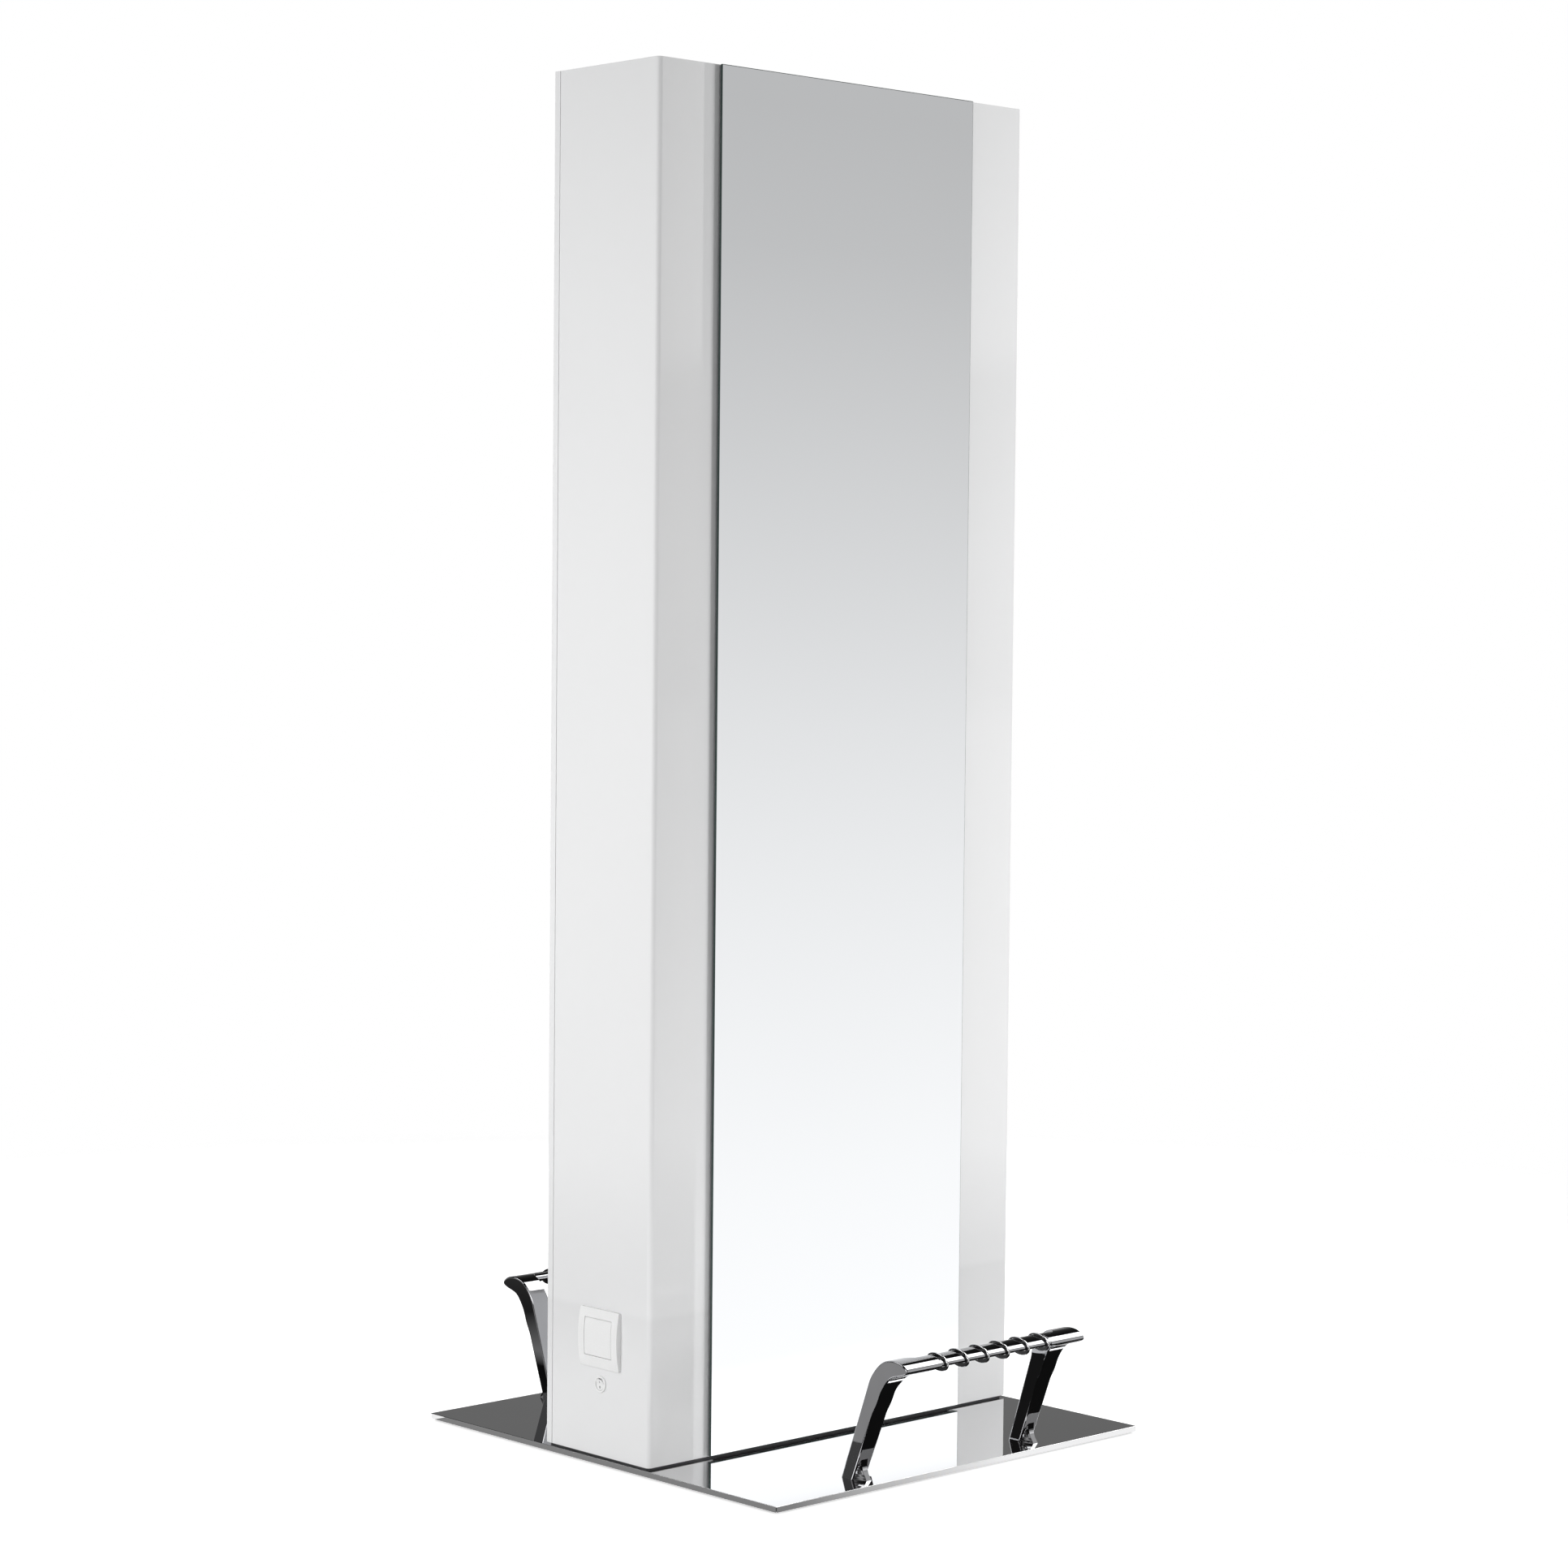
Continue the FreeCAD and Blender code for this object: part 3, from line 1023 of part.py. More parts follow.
def oval(x, half_depth, half_height, drop=0.0):
    """Oval across the bar at x, leaning so that its side towards the mirror is higher."""
    edge = Part.Ellipse(V(0, 0, 0), half_depth, half_height).toShape()
    edge.rotate(V(0, 0, 0), V(1, 1, 1), 120)
    edge.rotate(V(0, 0, 0), V(1, 0, 0), BAR_TILT)
    edge.translate(V(x, -BAR_Y, BAR_Z - drop))
    return Part.Face(Part.Wire([edge]))


def bar_piece(start, end, grow=0.0):
    """Length of the oval bar."""
    face = oval(start, BAR_HALF_DEPTH + grow, BAR_HALF_HEIGHT + grow)
    return face.extrude(V(end - start, 0, 0))


def long_edges(leg):
    """Edges along a leg, without those on the base, across the leg and at the end of its flare."""
    chosen = []
    for edge in leg.Edges:
        a, b = edge.valueAt(edge.FirstParameter), edge.valueAt(edge.LastParameter)
        if abs(a.z - b.z) > 2 * LEG_EDGE_ROUND and max(a.x, b.x) > FLARE_END_X + LEG_EDGE_ROUND:
            chosen.append(edge)
    return chosen


def footrest_leg():
    """Right leg of the front footrest, with the collar that takes the end of the bar."""
    outer = LEG_SPAN / 2
    leg = Part.Face(leg_outline(outer)).extrude(V(FLARE_END_X - outer, 0, 0))
    leg = leg.common(leg_front_view()).common(leg_top_view())
    leg = leg.makeFillet(LEG_EDGE_ROUND, long_edges(leg))
    collar = bar_piece(BAR_END_X, LEG_INNER_X + HUB_IN_LEG)
    leg = leg.fuse([collar, toe(outer - LEG_WIDTH / 2)]).removeSplitter()
    x, y = leg_bolt_places()[-1]
    hole = rod(BOLT_DIAMETER / 2 + SCREW_GAP, (x, -y, BASE_TOP), (0, 0, 1), FOOT_BOLT_DEPTH + SCREW_GAP)
    return leg.cut(hole)


def footrest_bolts():
    return group([sunk_bolt(x, y, BASE_TOP + FOOT_BOLT_DEPTH) for x, y in leg_bolt_places()])


def footrest_bar():
    return bar_piece(-BAR_END_X, BAR_END_X)


def footrest_rings():
    """Oval rubber rings on the bar, deeper below it than above."""
    rings = []
    pitch = 2 * (BAR_END_X - RING_FROM_HUB) / (RING_COUNT - 1)
    for k in range(RING_COUNT):
        start = pitch * (k - (RING_COUNT - 1) / 2) - RING_THICKNESS / 2
        ring = oval(start, RING_HALF_DEPTH, RING_HALF_HEIGHT, RING_DROP).extrude(V(RING_THICKNESS, 0, 0))
        rims = [edge for edge in ring.Edges if edge.Closed]
        ring = ring.makeFillet(RING_EDGE_ROUND, rims)
        rings.append(ring.cut(bar_piece(start, start + RING_THICKNESS, RING_PLAY)))
    return group(rings)


# ---------------------------------------------------------------- write every node
def main():
    os.makedirs("parts", exist_ok=True)
    save("base_skin", base_skin())
    save("base_core", base_core())
    save("base_feet", base_feet())
    save("tower_bolts", tower_bolts())
    save("footrest_bolts", footrest_bolts())
    save("bottom_frame", bottom_frame())
    save("top_frame", top_frame())
    save("uprights", uprights())
    save("tie_rails", tie_rails())
    save_both("mirror_rails", group(mirror_rails_front()))
    save_both("board_screws", group(board_screws_front()))
    save("top_cap", top_cap())
    save_pair("mirror", mirror_front(), "front", "rear")
    save_pair("mirror_board", mirror_board_front(), "front", "rear")
    save_pair("end_cover", end_cover_left())
    save_pair("side_strip", side_strip_rear(), "rear", "front")
    save_both("seam_battens", group([seam_batten()]))
    save_both("reflectors", group([reflector()]))
    save_both("lamp_shelves", group([shelf()]))
    save_both("lamp_battens", group([lamp_batten()]))
    save_both("ballasts", group([ballast()]))
    save_both("lampholders", group(lampholders()))
    save_pair("lamp_tube", lamp_tube())
    save_pair("socket_frame", socket_frame())
    save_pair("socket_insert", socket_insert())
    save_pair("socket_lid", socket_lid())
    save_both("socket_bridges", group([socket_bridge()]))
    save_both("bridge_screws", group([bridge_screw(y, 0) for y in bridge_screw_places()]))
    save_both("lid_pins", group([lid_pin()]))
    save_both("lid_springs", group([lid_spring()]))
    save_both("back_boxes", group([back_box()]))
    save_both("contact_blocks", group([contact_block()]))
    save_both("socket_contacts", socket_contacts())
    save_both("earth_clips", earth_clips())
    save_pair("switch_body", switch_body())
    save_pair("switch_rocker", switch_rocker())
    save("junction_box", junction_box())
    save("junction_lid", junction_lid())
    save("terminal_block", terminal_block())
    save("cable_grommet", cable_grommet())
    save_both("internal_leads", internal_leads())
    save_both("lead_clips", group([lead_clip()]))
    right_leg = footrest_leg()
    save_pair("footrest_leg", right_leg, "front_right", "rear_left")
    save_pair("footrest_leg", mirrored_x(right_leg), "front_left", "rear_right")
    save_pair("footrest_bar", footrest_bar(), "front", "rear")
    save_pair("footrest_rings", footrest_rings(), "front", "rear")


main()
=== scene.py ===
# %% [markdown]
# # A double sided salon station
# The real station is a tall lit tower with a mirror on both long sides, white acrylic covers at both
# ends, a socket and a switch in each end, a polished steel plate under it and a footrest on each side.
# The CAD model gives every size. This script dresses it: it keeps the nodes whose shape is right, gives
# them better finishes, and builds finer pieces where light on a bent or cast surface needs them.

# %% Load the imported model
import json
import math
from contextlib import contextmanager

import bmesh
import bpy
from mathutils import Matrix, Vector
from mathutils.kdtree import KDTree


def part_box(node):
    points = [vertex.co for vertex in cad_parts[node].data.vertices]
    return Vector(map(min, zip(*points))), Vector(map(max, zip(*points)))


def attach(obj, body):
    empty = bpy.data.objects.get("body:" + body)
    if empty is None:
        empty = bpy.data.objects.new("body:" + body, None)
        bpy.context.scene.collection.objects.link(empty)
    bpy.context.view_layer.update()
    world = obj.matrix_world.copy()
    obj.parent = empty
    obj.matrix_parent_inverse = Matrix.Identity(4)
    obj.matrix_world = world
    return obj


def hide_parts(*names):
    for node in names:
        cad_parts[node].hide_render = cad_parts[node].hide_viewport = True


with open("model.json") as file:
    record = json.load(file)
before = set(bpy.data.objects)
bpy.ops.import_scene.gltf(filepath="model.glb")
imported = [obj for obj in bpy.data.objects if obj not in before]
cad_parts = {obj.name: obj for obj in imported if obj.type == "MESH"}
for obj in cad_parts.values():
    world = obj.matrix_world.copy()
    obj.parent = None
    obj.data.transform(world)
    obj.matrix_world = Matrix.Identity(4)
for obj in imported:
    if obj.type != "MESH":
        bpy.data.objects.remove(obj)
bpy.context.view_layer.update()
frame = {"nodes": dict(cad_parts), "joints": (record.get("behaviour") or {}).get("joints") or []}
nodes = frame["nodes"]

# %% [markdown]
# The camera stands to the left of the front mirror at the height of a standing person's chest, with a
# long lens, so that upright lines stay nearly upright. A camera looks along its own -Z axis, so its
# matrix has the sideways, upward and backward directions as columns.

# %% Camera
IMAGE_SIZE = 1932                      # pixels each way
FOCAL_PIXELS = 4446.6
SENSOR = 36.0                          # mm
EYE = Vector((-3.7222, -3.9168, 1.2356))
YAW, PITCH, ROLL = (math.radians(a) for a in (43.47, -2.785, 0.54))


def camera_axes(yaw, pitch, roll):
    ahead = Vector((math.sin(yaw) * math.cos(pitch), math.cos(yaw) * math.cos(pitch), math.sin(pitch)))
    right = Vector((math.cos(yaw), -math.sin(yaw), 0))
    up = right.cross(ahead)
    side = math.cos(roll) * right + math.sin(roll) * up
    return side, math.cos(roll) * up - math.sin(roll) * right, -ahead


camera_data = bpy.data.cameras.new("camera")
camera_data.sensor_width = SENSOR
camera_data.lens = FOCAL_PIXELS / IMAGE_SIZE * SENSOR
camera = bpy.data.objects.new("camera", camera_data)
camera.matrix_world = Matrix.Translation(EYE) @ Matrix(camera_axes(YAW, PITCH, ROLL)).transposed().to_4x4()
bpy.context.scene.collection.objects.link(camera)
bpy.context.scene.camera = camera
bpy.context.scene.view_settings.view_transform = "Standard"
print("lens %.1f mm" % camera_data.lens)

# %% [markdown]
# Materials are small node trees. A few helpers keep them short: one adds a node and feeds it, one makes a
# noise on object coordinates, and one spreads that noise between two numbers or two colours. Object
# coordinates are metres here, so a scale of 1000 makes grains of about a millimetre.

# %% Material helpers
def add_node(tree, kind, inputs=(), **settings):
    """A new node; each input is given as a value or as the socket that feeds it."""
    node = tree.nodes.new(kind)
    for name, value in settings.items():
        setattr(node, name, value)
    for key, value in dict(inputs).items():
        if isinstance(value, bpy.types.NodeSocket):
            tree.links.new(value, node.inputs[key])
        else:
            node.inputs[key].default_value = value
    return node


def start_material(name, color, rough, metal=0.0):
    material = bpy.data.materials.new(name)
    material.use_nodes = True
    shader = material.node_tree.nodes["Principled BSDF"]
    shader.inputs["Base Color"].default_value = (*color, 1)
    shader.inputs["Roughness"].default_value = rough
    shader.inputs["Metallic"].default_value = metal
    material.diffuse_color = (*color, 1)
    return material


def place_on(tree, stretch=(1, 1, 1)):
    """Object coordinates, stretched along the axes."""
    coords = add_node(tree, "ShaderNodeTexCoord")
    inputs = {"Vector": coords.outputs["Object"], "Scale": stretch}
    return add_node(tree, "ShaderNodeMapping", inputs).outputs["Vector"]


def grain(tree, scale, detail=3.0, stretch=(1, 1, 1)):
    inputs = {"Scale": scale, "Detail": detail, "Vector": place_on(tree, stretch)}
    return add_node(tree, "ShaderNodeTexNoise", inputs).outputs["Fac"]


def spread(tree, factor, low, high, start=0.3, end=0.7):
    """A number that goes from low to high as the factor goes from start to end."""
    inputs = {"Value": factor, "From Min": start, "From Max": end, "To Min": low, "To Max": high}
    return add_node(tree, "ShaderNodeMapRange", inputs).outputs["Result"]


def tone_ramp(tree, factor, tones):
    """A ramp through (place, color); the first place is 0 and the last is 1."""
    ramp = add_node(tree, "ShaderNodeValToRGB", {"Fac": factor})
    stops = ramp.color_ramp.elements
    for place, _ in tones[1:-1]:
        stops.new(place)
    for stop, (place, color) in zip(stops, tones):
        stop.position, stop.color = place, (*color, 1)
    return ramp.outputs["Color"]


def blend_colors(tree, factor, low, high):
    inputs = {"Factor": factor, "A": (*low, 1), "B": (*high, 1)}
    return add_node(tree, "ShaderNodeMix", inputs, data_type="RGBA").outputs["Result"]


def add_bump(tree, shader, height, distance):
    bump = add_node(tree, "ShaderNodeBump", {"Height": height, "Distance": distance, "Strength": 1.0})
    tree.links.new(bump.outputs["Normal"], shader.inputs["Normal"])


def surface(name, color, rough, metal, shift, patch, fine, depth, stretch=(1, 1, 1)):
    """A finish whose tone and gloss drift over the piece, with a fine relief.

    rough is the range of the roughness, shift the share by which the colour darkens, patch and fine are
    the scales of the drift and of the relief, and depth is the height of the relief in metres.
    """
    material = start_material(name, color, sum(rough) / 2, metal)
    tree = material.node_tree
    shader = tree.nodes["Principled BSDF"]
    drift = spread(tree, grain(tree, patch, 2.0), 0.0, 1.0)
    darker = [c * (1 - shift) for c in color]
    tree.links.new(blend_colors(tree, drift, darker, color), shader.inputs["Base Color"])
    relief = grain(tree, fine, stretch=stretch)
    tree.links.new(spread(tree, relief, *rough), shader.inputs["Roughness"])
    add_bump(tree, shader, relief, depth)
    print("finish:", name)
    return material


def finish(material, *names):
    """Gives a material to CAD nodes that keep their own mesh."""
    for name in names:
        nodes[name].data.materials.clear()
        nodes[name].data.materials.append(material)


# %% [markdown]
# The plate, the footrests and the mirrors are bright metal or silvered glass. What makes them look real
# is less their own colour than a slight waviness and a haze of fine wipe marks, so their relief is
# shallow and their roughness drifts a little.

# %% Bright metals and mirror glass
polished_steel = surface("polished_steel", (0.75, 0.75, 0.755), (0.012, 0.035), 1.0, 0.03, 3.0, 260.0,
                         0.0000015)
finish(polished_steel, "base_skin")
cast_chrome = surface("dark_chrome", (0.36, 0.36, 0.37), (0.02, 0.05), 1.0, 0.08, 14.0, 160.0, 0.0000015)
silvered_glass = surface("silvered_glass", (0.93, 0.935, 0.94), (0.004, 0.012), 1.0, 0.01, 1.2, 90.0,
                         0.0000002)
glass_edge = surface("ground_glass_edge", (0.035, 0.06, 0.055), (0.18, 0.32), 0.0, 0.2, 30.0, 1800.0,
                     0.00002)
zinc_steel = surface("zinc_steel", (0.60, 0.61, 0.63), (0.28, 0.44), 1.0, 0.10, 60.0, 1500.0, 0.00002,
                     (1, 1, 0.15))
finish(zinc_steel, "tower_bolts", "footrest_bolts", "board_screws", "ballasts", "socket_bridges",
       "bridge_screws", "lid_pins", "lid_springs")
brass = surface("brass_contacts", (0.76, 0.58, 0.28), (0.16, 0.30), 1.0, 0.12, 80.0, 1200.0, 0.00001)
finish(brass, "socket_contacts", "earth_clips")

# %% [markdown]
# Sheet steel inside the tower is powder coated black or enamelled white. Powder coat has an orange peel
# relief of about a millimetre; enamel is smoother.

# %% Coated steel, boards and dull plastics
black_coat = surface("black_powder_coat", (0.045, 0.045, 0.048), (0.42, 0.58), 0.0, 0.15, 12.0, 700.0,
                     0.00006)
finish(black_coat, "base_core", "bottom_frame", "top_frame", "uprights", "tie_rails", "mirror_rails")
white_enamel = surface("white_enamel", (0.86, 0.86, 0.855), (0.24, 0.34), 0.0, 0.03, 7.0, 500.0, 0.00003)
finish(white_enamel, "reflectors", "lamp_shelves", "lamp_battens")
grey_laminate = surface("grey_laminate", (0.20, 0.205, 0.21), (0.35, 0.50), 0.0, 0.10, 20.0, 1600.0,
                        0.00003)
finish(grey_laminate, "mirror_board_front", "mirror_board_rear")
grey_plastic = surface("grey_moulding", (0.50, 0.51, 0.52), (0.38, 0.52), 0.0, 0.05, 25.0, 2200.0, 0.00004)
finish(grey_plastic, "back_boxes", "contact_blocks", "junction_box", "junction_lid", "terminal_block",
       "lead_clips")
lead_sheath = surface("lead_sheath", (0.72, 0.72, 0.715), (0.36, 0.50), 0.0, 0.06, 40.0, 1500.0, 0.00003)
finish(lead_sheath, "internal_leads")
black_rubber = surface("glossy_rubber", (0.010, 0.010, 0.011), (0.12, 0.22), 0.0, 0.25, 60.0, 1300.0,
                       0.00001)
finish(black_rubber, "cable_grommet")
# painted highlight: a bright metal finish for the rims of the black rubber rings, so that they show white
# arcs
rim_highlight_finish = surface("polished_rim", (0.88, 0.88, 0.89), (0.08, 0.12), 1.0, 0.08, 40.0, 400.0, 0.000001)
clear_bumper = surface("clear_bumper", (0.62, 0.64, 0.65), (0.10, 0.22), 0.0, 0.10, 60.0, 900.0, 0.00002)
clear_bumper.node_tree.nodes["Principled BSDF"].inputs["Transmission Weight"].default_value = 0.6
coated_tube = surface("coated_lamp_glass", (0.90, 0.90, 0.88), (0.06, 0.14), 0.0, 0.02, 6.0, 300.0,
                      0.000005)
finish(coated_tube, "lamp_tube_left", "lamp_tube_right")

# %% [markdown]
# The covers are opal acrylic. In the real station the lamps light them from behind and a sheet metal
# shelf ends the lamp space about 227 mm above the floor, so the acrylic looks a touch darker just below
# that height and lightens again towards the plate, where it lies on nothing dark. No lamp shines
# through the sheet here, so that shade is painted into its colour: a painted shade that changes with
# height. The gloss comes from a thin clear coat.

# %% Opal acrylic
OPAL = (0.855, 0.858, 0.862)
# painted shade: the sheet's colour is darker under the shelf, standing in for the shadow the shelf casts
# inside the lit tower
SHELF_SHADE = 0.045                    # how much darker the sheet is just under the shelf
LINE_DROP = 0.002                      # of the tone line below the top of the shelf
LINE_BLUR = 0.01                       # half its width, as a share of the toned height
shelf_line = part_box("lamp_shelves")[1].z - LINE_DROP
sheet_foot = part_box("end_cover_left")[0].z


def opal_acrylic():
    material = surface("opal_acrylic", OPAL, (0.10, 0.14), 0.0, 0.012, 2.5, 60.0, 0.000002)
    tree = material.node_tree
    shader = tree.nodes["Principled BSDF"]
    drifting = shader.inputs["Base Color"].links[0].from_socket
    height = add_node(tree, "ShaderNodeSeparateXYZ", {"Vector": place_on(tree)}).outputs["Z"]
    toned_top = 2 * shelf_line
    rise = spread(tree, height, 0, 1, sheet_foot, toned_top)
    line = (shelf_line - sheet_foot) / (toned_top - sheet_foot)
    # dull is the painted shade just below the shelf line; clear leaves the colour as it is
    clear, dull = (1, 1, 1), [1 - SHELF_SHADE] * 3
    tones = [(0, clear), (line - LINE_BLUR, dull), (line + LINE_BLUR, clear), (1, clear)]
    inputs = {"Factor": 1.0, "A": drifting, "B": tone_ramp(tree, rise, tones)}
    shaded = add_node(tree, "ShaderNodeMix", inputs, data_type="RGBA", blend_type="MULTIPLY")
    tree.links.new(shaded.outputs["Result"], shader.inputs["Base Color"])
    shader.inputs["Coat Weight"].default_value = 0.9
    shader.inputs["Coat Roughness"].default_value = 0.04
    return material


opal = opal_acrylic()
finish(opal, "top_cap", "seam_battens")
white_plastic = surface("white_moulding", (0.86, 0.862, 0.86), (0.20, 0.30), 0.0, 0.015, 30.0, 1400.0,
                        0.000012)
finish(white_plastic, "lampholders")
mark_ink = surface("pressed_mark", (0.05, 0.05, 0.055), (0.35, 0.5), 0.0, 0.2, 200.0, 3000.0, 0.00001)
print("shelf line at %.0f mm" % (shelf_line * 1000))

# %% [markdown]
# Each finer piece is made as a bare mesh and then handed over by one function: it puts the piece on the
# body that carries it and hides the CAD nodes it stands for. The station looks the same after half a
# turn, so many pieces are made once and handed over twice. Before that a piece gets smooth shading. Its
# normals are weighted by face size, so that a wide flat face stays flat right up to its rounded edge.

# %% Building helpers
SHARP = math.radians(32)
FACE_WEIGHT = 80                       # how strongly wide faces pull the normals
WELD_GAP = 0.000001
FLAT = math.radians(0.2)               # faces that bend less than this become one
OTHER_SIDE = {"left": "right", "front": "rear", "rear": "front"}


def new_piece(name, mesh, *materials):
    piece = bpy.data.objects.new(name, mesh)
    bpy.context.scene.collection.objects.link(piece)
    for material in materials:
        mesh.materials.append(material)
    return piece


def mesh_from(name, points, faces):
    mesh = bpy.data.meshes.new(name)
    mesh.from_pydata([tuple(p) for p in points], [], faces)
    mesh.update()
    return mesh


@contextmanager
def opened(piece):
    """The mesh of a piece, open for changes and written back after them."""
    shape = bmesh.new()
    shape.from_mesh(piece.data)
    yield shape
    shape.to_mesh(piece.data)
    shape.free()


def facing_outwards(piece):
    with opened(piece) as shape:
        bmesh.ops.recalc_face_normals(shape, faces=shape.faces)
    return piece


def cut_level(shape, height, **settings):
    """Cuts an open mesh along a level plane."""
    parts = shape.verts[:] + shape.edges[:] + shape.faces[:]
    bmesh.ops.bisect_plane(shape, geom=parts, plane_co=(0, 0, height), plane_no=(0, 0, 1), **settings)


def apply_modifiers(piece):
    """Bakes the modifiers of a piece into its mesh."""
    ready = bpy.data.meshes.new_from_object(piece.evaluated_get(bpy.context.evaluated_depsgraph_get()))
    piece.modifiers.clear()
    old = piece.data
    piece.data = ready
    bpy.data.meshes.remove(old)
    return piece


def shade(piece):
    piece.data.shade_smooth()
    piece.data.set_sharp_from_angle(angle=SHARP)
    weighted = piece.modifiers.new("weighted", "WEIGHTED_NORMAL")
    weighted.keep_sharp = True
    weighted.weight = FACE_WEIGHT
    return apply_modifiers(piece)


def paint_by_direction(piece, axis, limit, facing, other):
    """One material for the faces that look along an axis and another for the rest."""
    piece.data.materials.clear()
    for material in (facing, other):
        piece.data.materials.append(material)
    for face in piece.data.polygons:
        face.material_index = 0 if abs(face.normal[axis]) > limit else 1


def hand_over(piece, slot, body, *replaced):
    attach(piece, body)
    if replaced:
        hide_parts(*replaced)
    print("%s: %d faces" % (piece.name, len(piece.data.polygons)))


def turned(piece, name):
    """A copy of a finished piece on the other side of the station, half a turn about Z."""
    mesh = piece.data.copy()
    mesh.transform(Matrix.Rotation(math.pi, 4, "Z"))
    return new_piece(name, mesh)


def other_side(name):
    return "_".join(OTHER_SIDE.get(word, word) for word in name.split("_"))


def hand_over_both(piece, slot, body, *replaced):
    """Hands over the turned copy of a piece and then the piece itself."""
    copy = turned(piece, other_side(piece.name))
    hand_over(copy, slot, other_side(body), *[other_side(node) for node in replaced])
    hand_over(piece, slot, body, *replaced)


def combine(piece, operation, *others):
    """Cuts closed pieces out of a piece, or adds them to it, and removes them."""
    for other in others:
        change = piece.modifiers.new("change", "BOOLEAN")
        change.operation, change.solver, change.object = operation, "EXACT", other
        apply_modifiers(piece)
        bpy.data.objects.remove(other)
    return piece


def block(name, low, high):
    """A plain block between two corners."""
    piece = new_piece(name, bpy.data.meshes.new(name))
    size, middle = Vector(high) - Vector(low), (Vector(high) + Vector(low)) / 2
    with opened(piece) as shape:
        bmesh.ops.create_cube(shape, size=1)
        bmesh.ops.scale(shape, vec=size, verts=shape.verts)
        bmesh.ops.translate(shape, vec=middle, verts=shape.verts)
    return piece


def drum(name, radius, start, end, sides=64):
    """A cylinder between two points."""
    start, end = Vector(start), Vector(end)
    turn = (end - start).to_track_quat("Z", "Y").to_matrix().to_4x4()
    place = Matrix.Translation((start + end) / 2) @ turn
    piece = new_piece(name, bpy.data.meshes.new(name))
    with opened(piece) as shape:
        bmesh.ops.create_cone(shape, cap_ends=True, segments=sides, radius1=radius, radius2=radius,
                              depth=(end - start).length)
        bmesh.ops.transform(shape, matrix=place, verts=shape.verts)
    return piece


def extruded(name, outline, axis, depth):
    """A closed outline, pushed along an axis vector by a depth on both sides of it."""
    shift = Vector(axis) * depth
    count = len(outline)
    points = [Vector(p) - shift for p in outline] + [Vector(p) + shift for p in outline]
    faces = [list(range(count))[::-1], [k + count for k in range(count)]]
    faces += [[k, (k + 1) % count, (k + 1) % count + count, k + count] for k in range(count)]
    return facing_outwards(new_piece(name, mesh_from(name, points, faces)))


def round_edges(piece, width, segments=3, angle=math.radians(40)):
    bevel = piece.modifiers.new("bevel", "BEVEL")
    bevel.width, bevel.segments, bevel.limit_method, bevel.angle_limit = width, segments, "ANGLE", angle
    bevel.use_clamp_overlap = True
    return apply_modifiers(piece)


def welded_copy(node, name, material, edge=0.0):
    """A CAD piece made one skin; its edges are rounded where a width is given."""
    mesh = nodes[node].data.copy()
    mesh.materials.clear()
    piece = new_piece(name, mesh, material)
    with opened(piece) as shape:
        bmesh.ops.remove_doubles(shape, verts=shape.verts, dist=WELD_GAP)
        bmesh.ops.dissolve_limit(shape, angle_limit=FLAT, verts=shape.verts, edges=shape.edges)
    if edge:
        round_edges(piece, edge, 2)
    return shade(piece)


# %% [markdown]
# Each end of the tower has two bent sheets: a wide one that is the whole end face and the strip beside
# one mirror, and a narrow one beside the other mirror with a short return on the end face. Both are the
# same shape, a strip of sheet with one bend, so one function draws their section from above and pushes
# it up. The CAD sheet has the same size; this one has a finer bend, which a glossy cover shows.

# %% Bent covers
cover_low, cover_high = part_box("end_cover_left")
strip_low, strip_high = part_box("side_strip_rear")
SHEET = 0.003
WIDE_BEND, TIGHT_BEND = 0.007, 0.0018
BEND_STEPS = 14
TIGHTEST_INSIDE = 0.0004               # radius left inside the tight bend
SHEET_EDGE, SHEET_EDGE_ANGLE = 0.0003, math.radians(60)
HIDDEN_RIM = 0.0115                    # of the cover, behind the socket frame
SWITCH_BORE = 0.0101                   # radius
TOOL_REACH = 0.01                      # of a cutting tool past the sheet on each side


def bent_section(corner, along_end, along_side, bend):
    """Points of an L of sheet with its outer corner at a point, each leg given as a signed length."""
    sx, sy = math.copysign(1, along_side), math.copysign(1, along_end)

    def arc(radius, centre):
        steps = [math.pi / 2 * k / BEND_STEPS for k in range(BEND_STEPS + 1)]
        return [(centre[0] - sx * radius * math.cos(a), centre[1] - sy * radius * math.sin(a)) for a in steps]

    x, y = corner
    centre = (x + sx * bend, y + sy * bend)
    inner = max(bend - SHEET, TIGHTEST_INSIDE)
    inner_centre = (x + sx * (SHEET + inner), y + sy * (SHEET + inner))
    outside = [(x, y + along_end)] + arc(bend, centre) + [(x + along_side, y)]
    inside = [(x + SHEET * sx, y + along_end)] + arc(inner, inner_centre)
    inside.append((x + along_side, y + SHEET * sy))
    return outside + inside[::-1]


def bent_cover(name, low, high, corner_y, bend):
    end = high.y - low.y if corner_y == low.y else low.y - high.y
    flat = bent_section((low.x, corner_y), end, high.x - low.x, bend)
    middle = (low.z + high.z) / 2
    return extruded(name, [(x, y, middle) for x, y in flat], (0, 0, 1), (high.z - low.z) / 2)


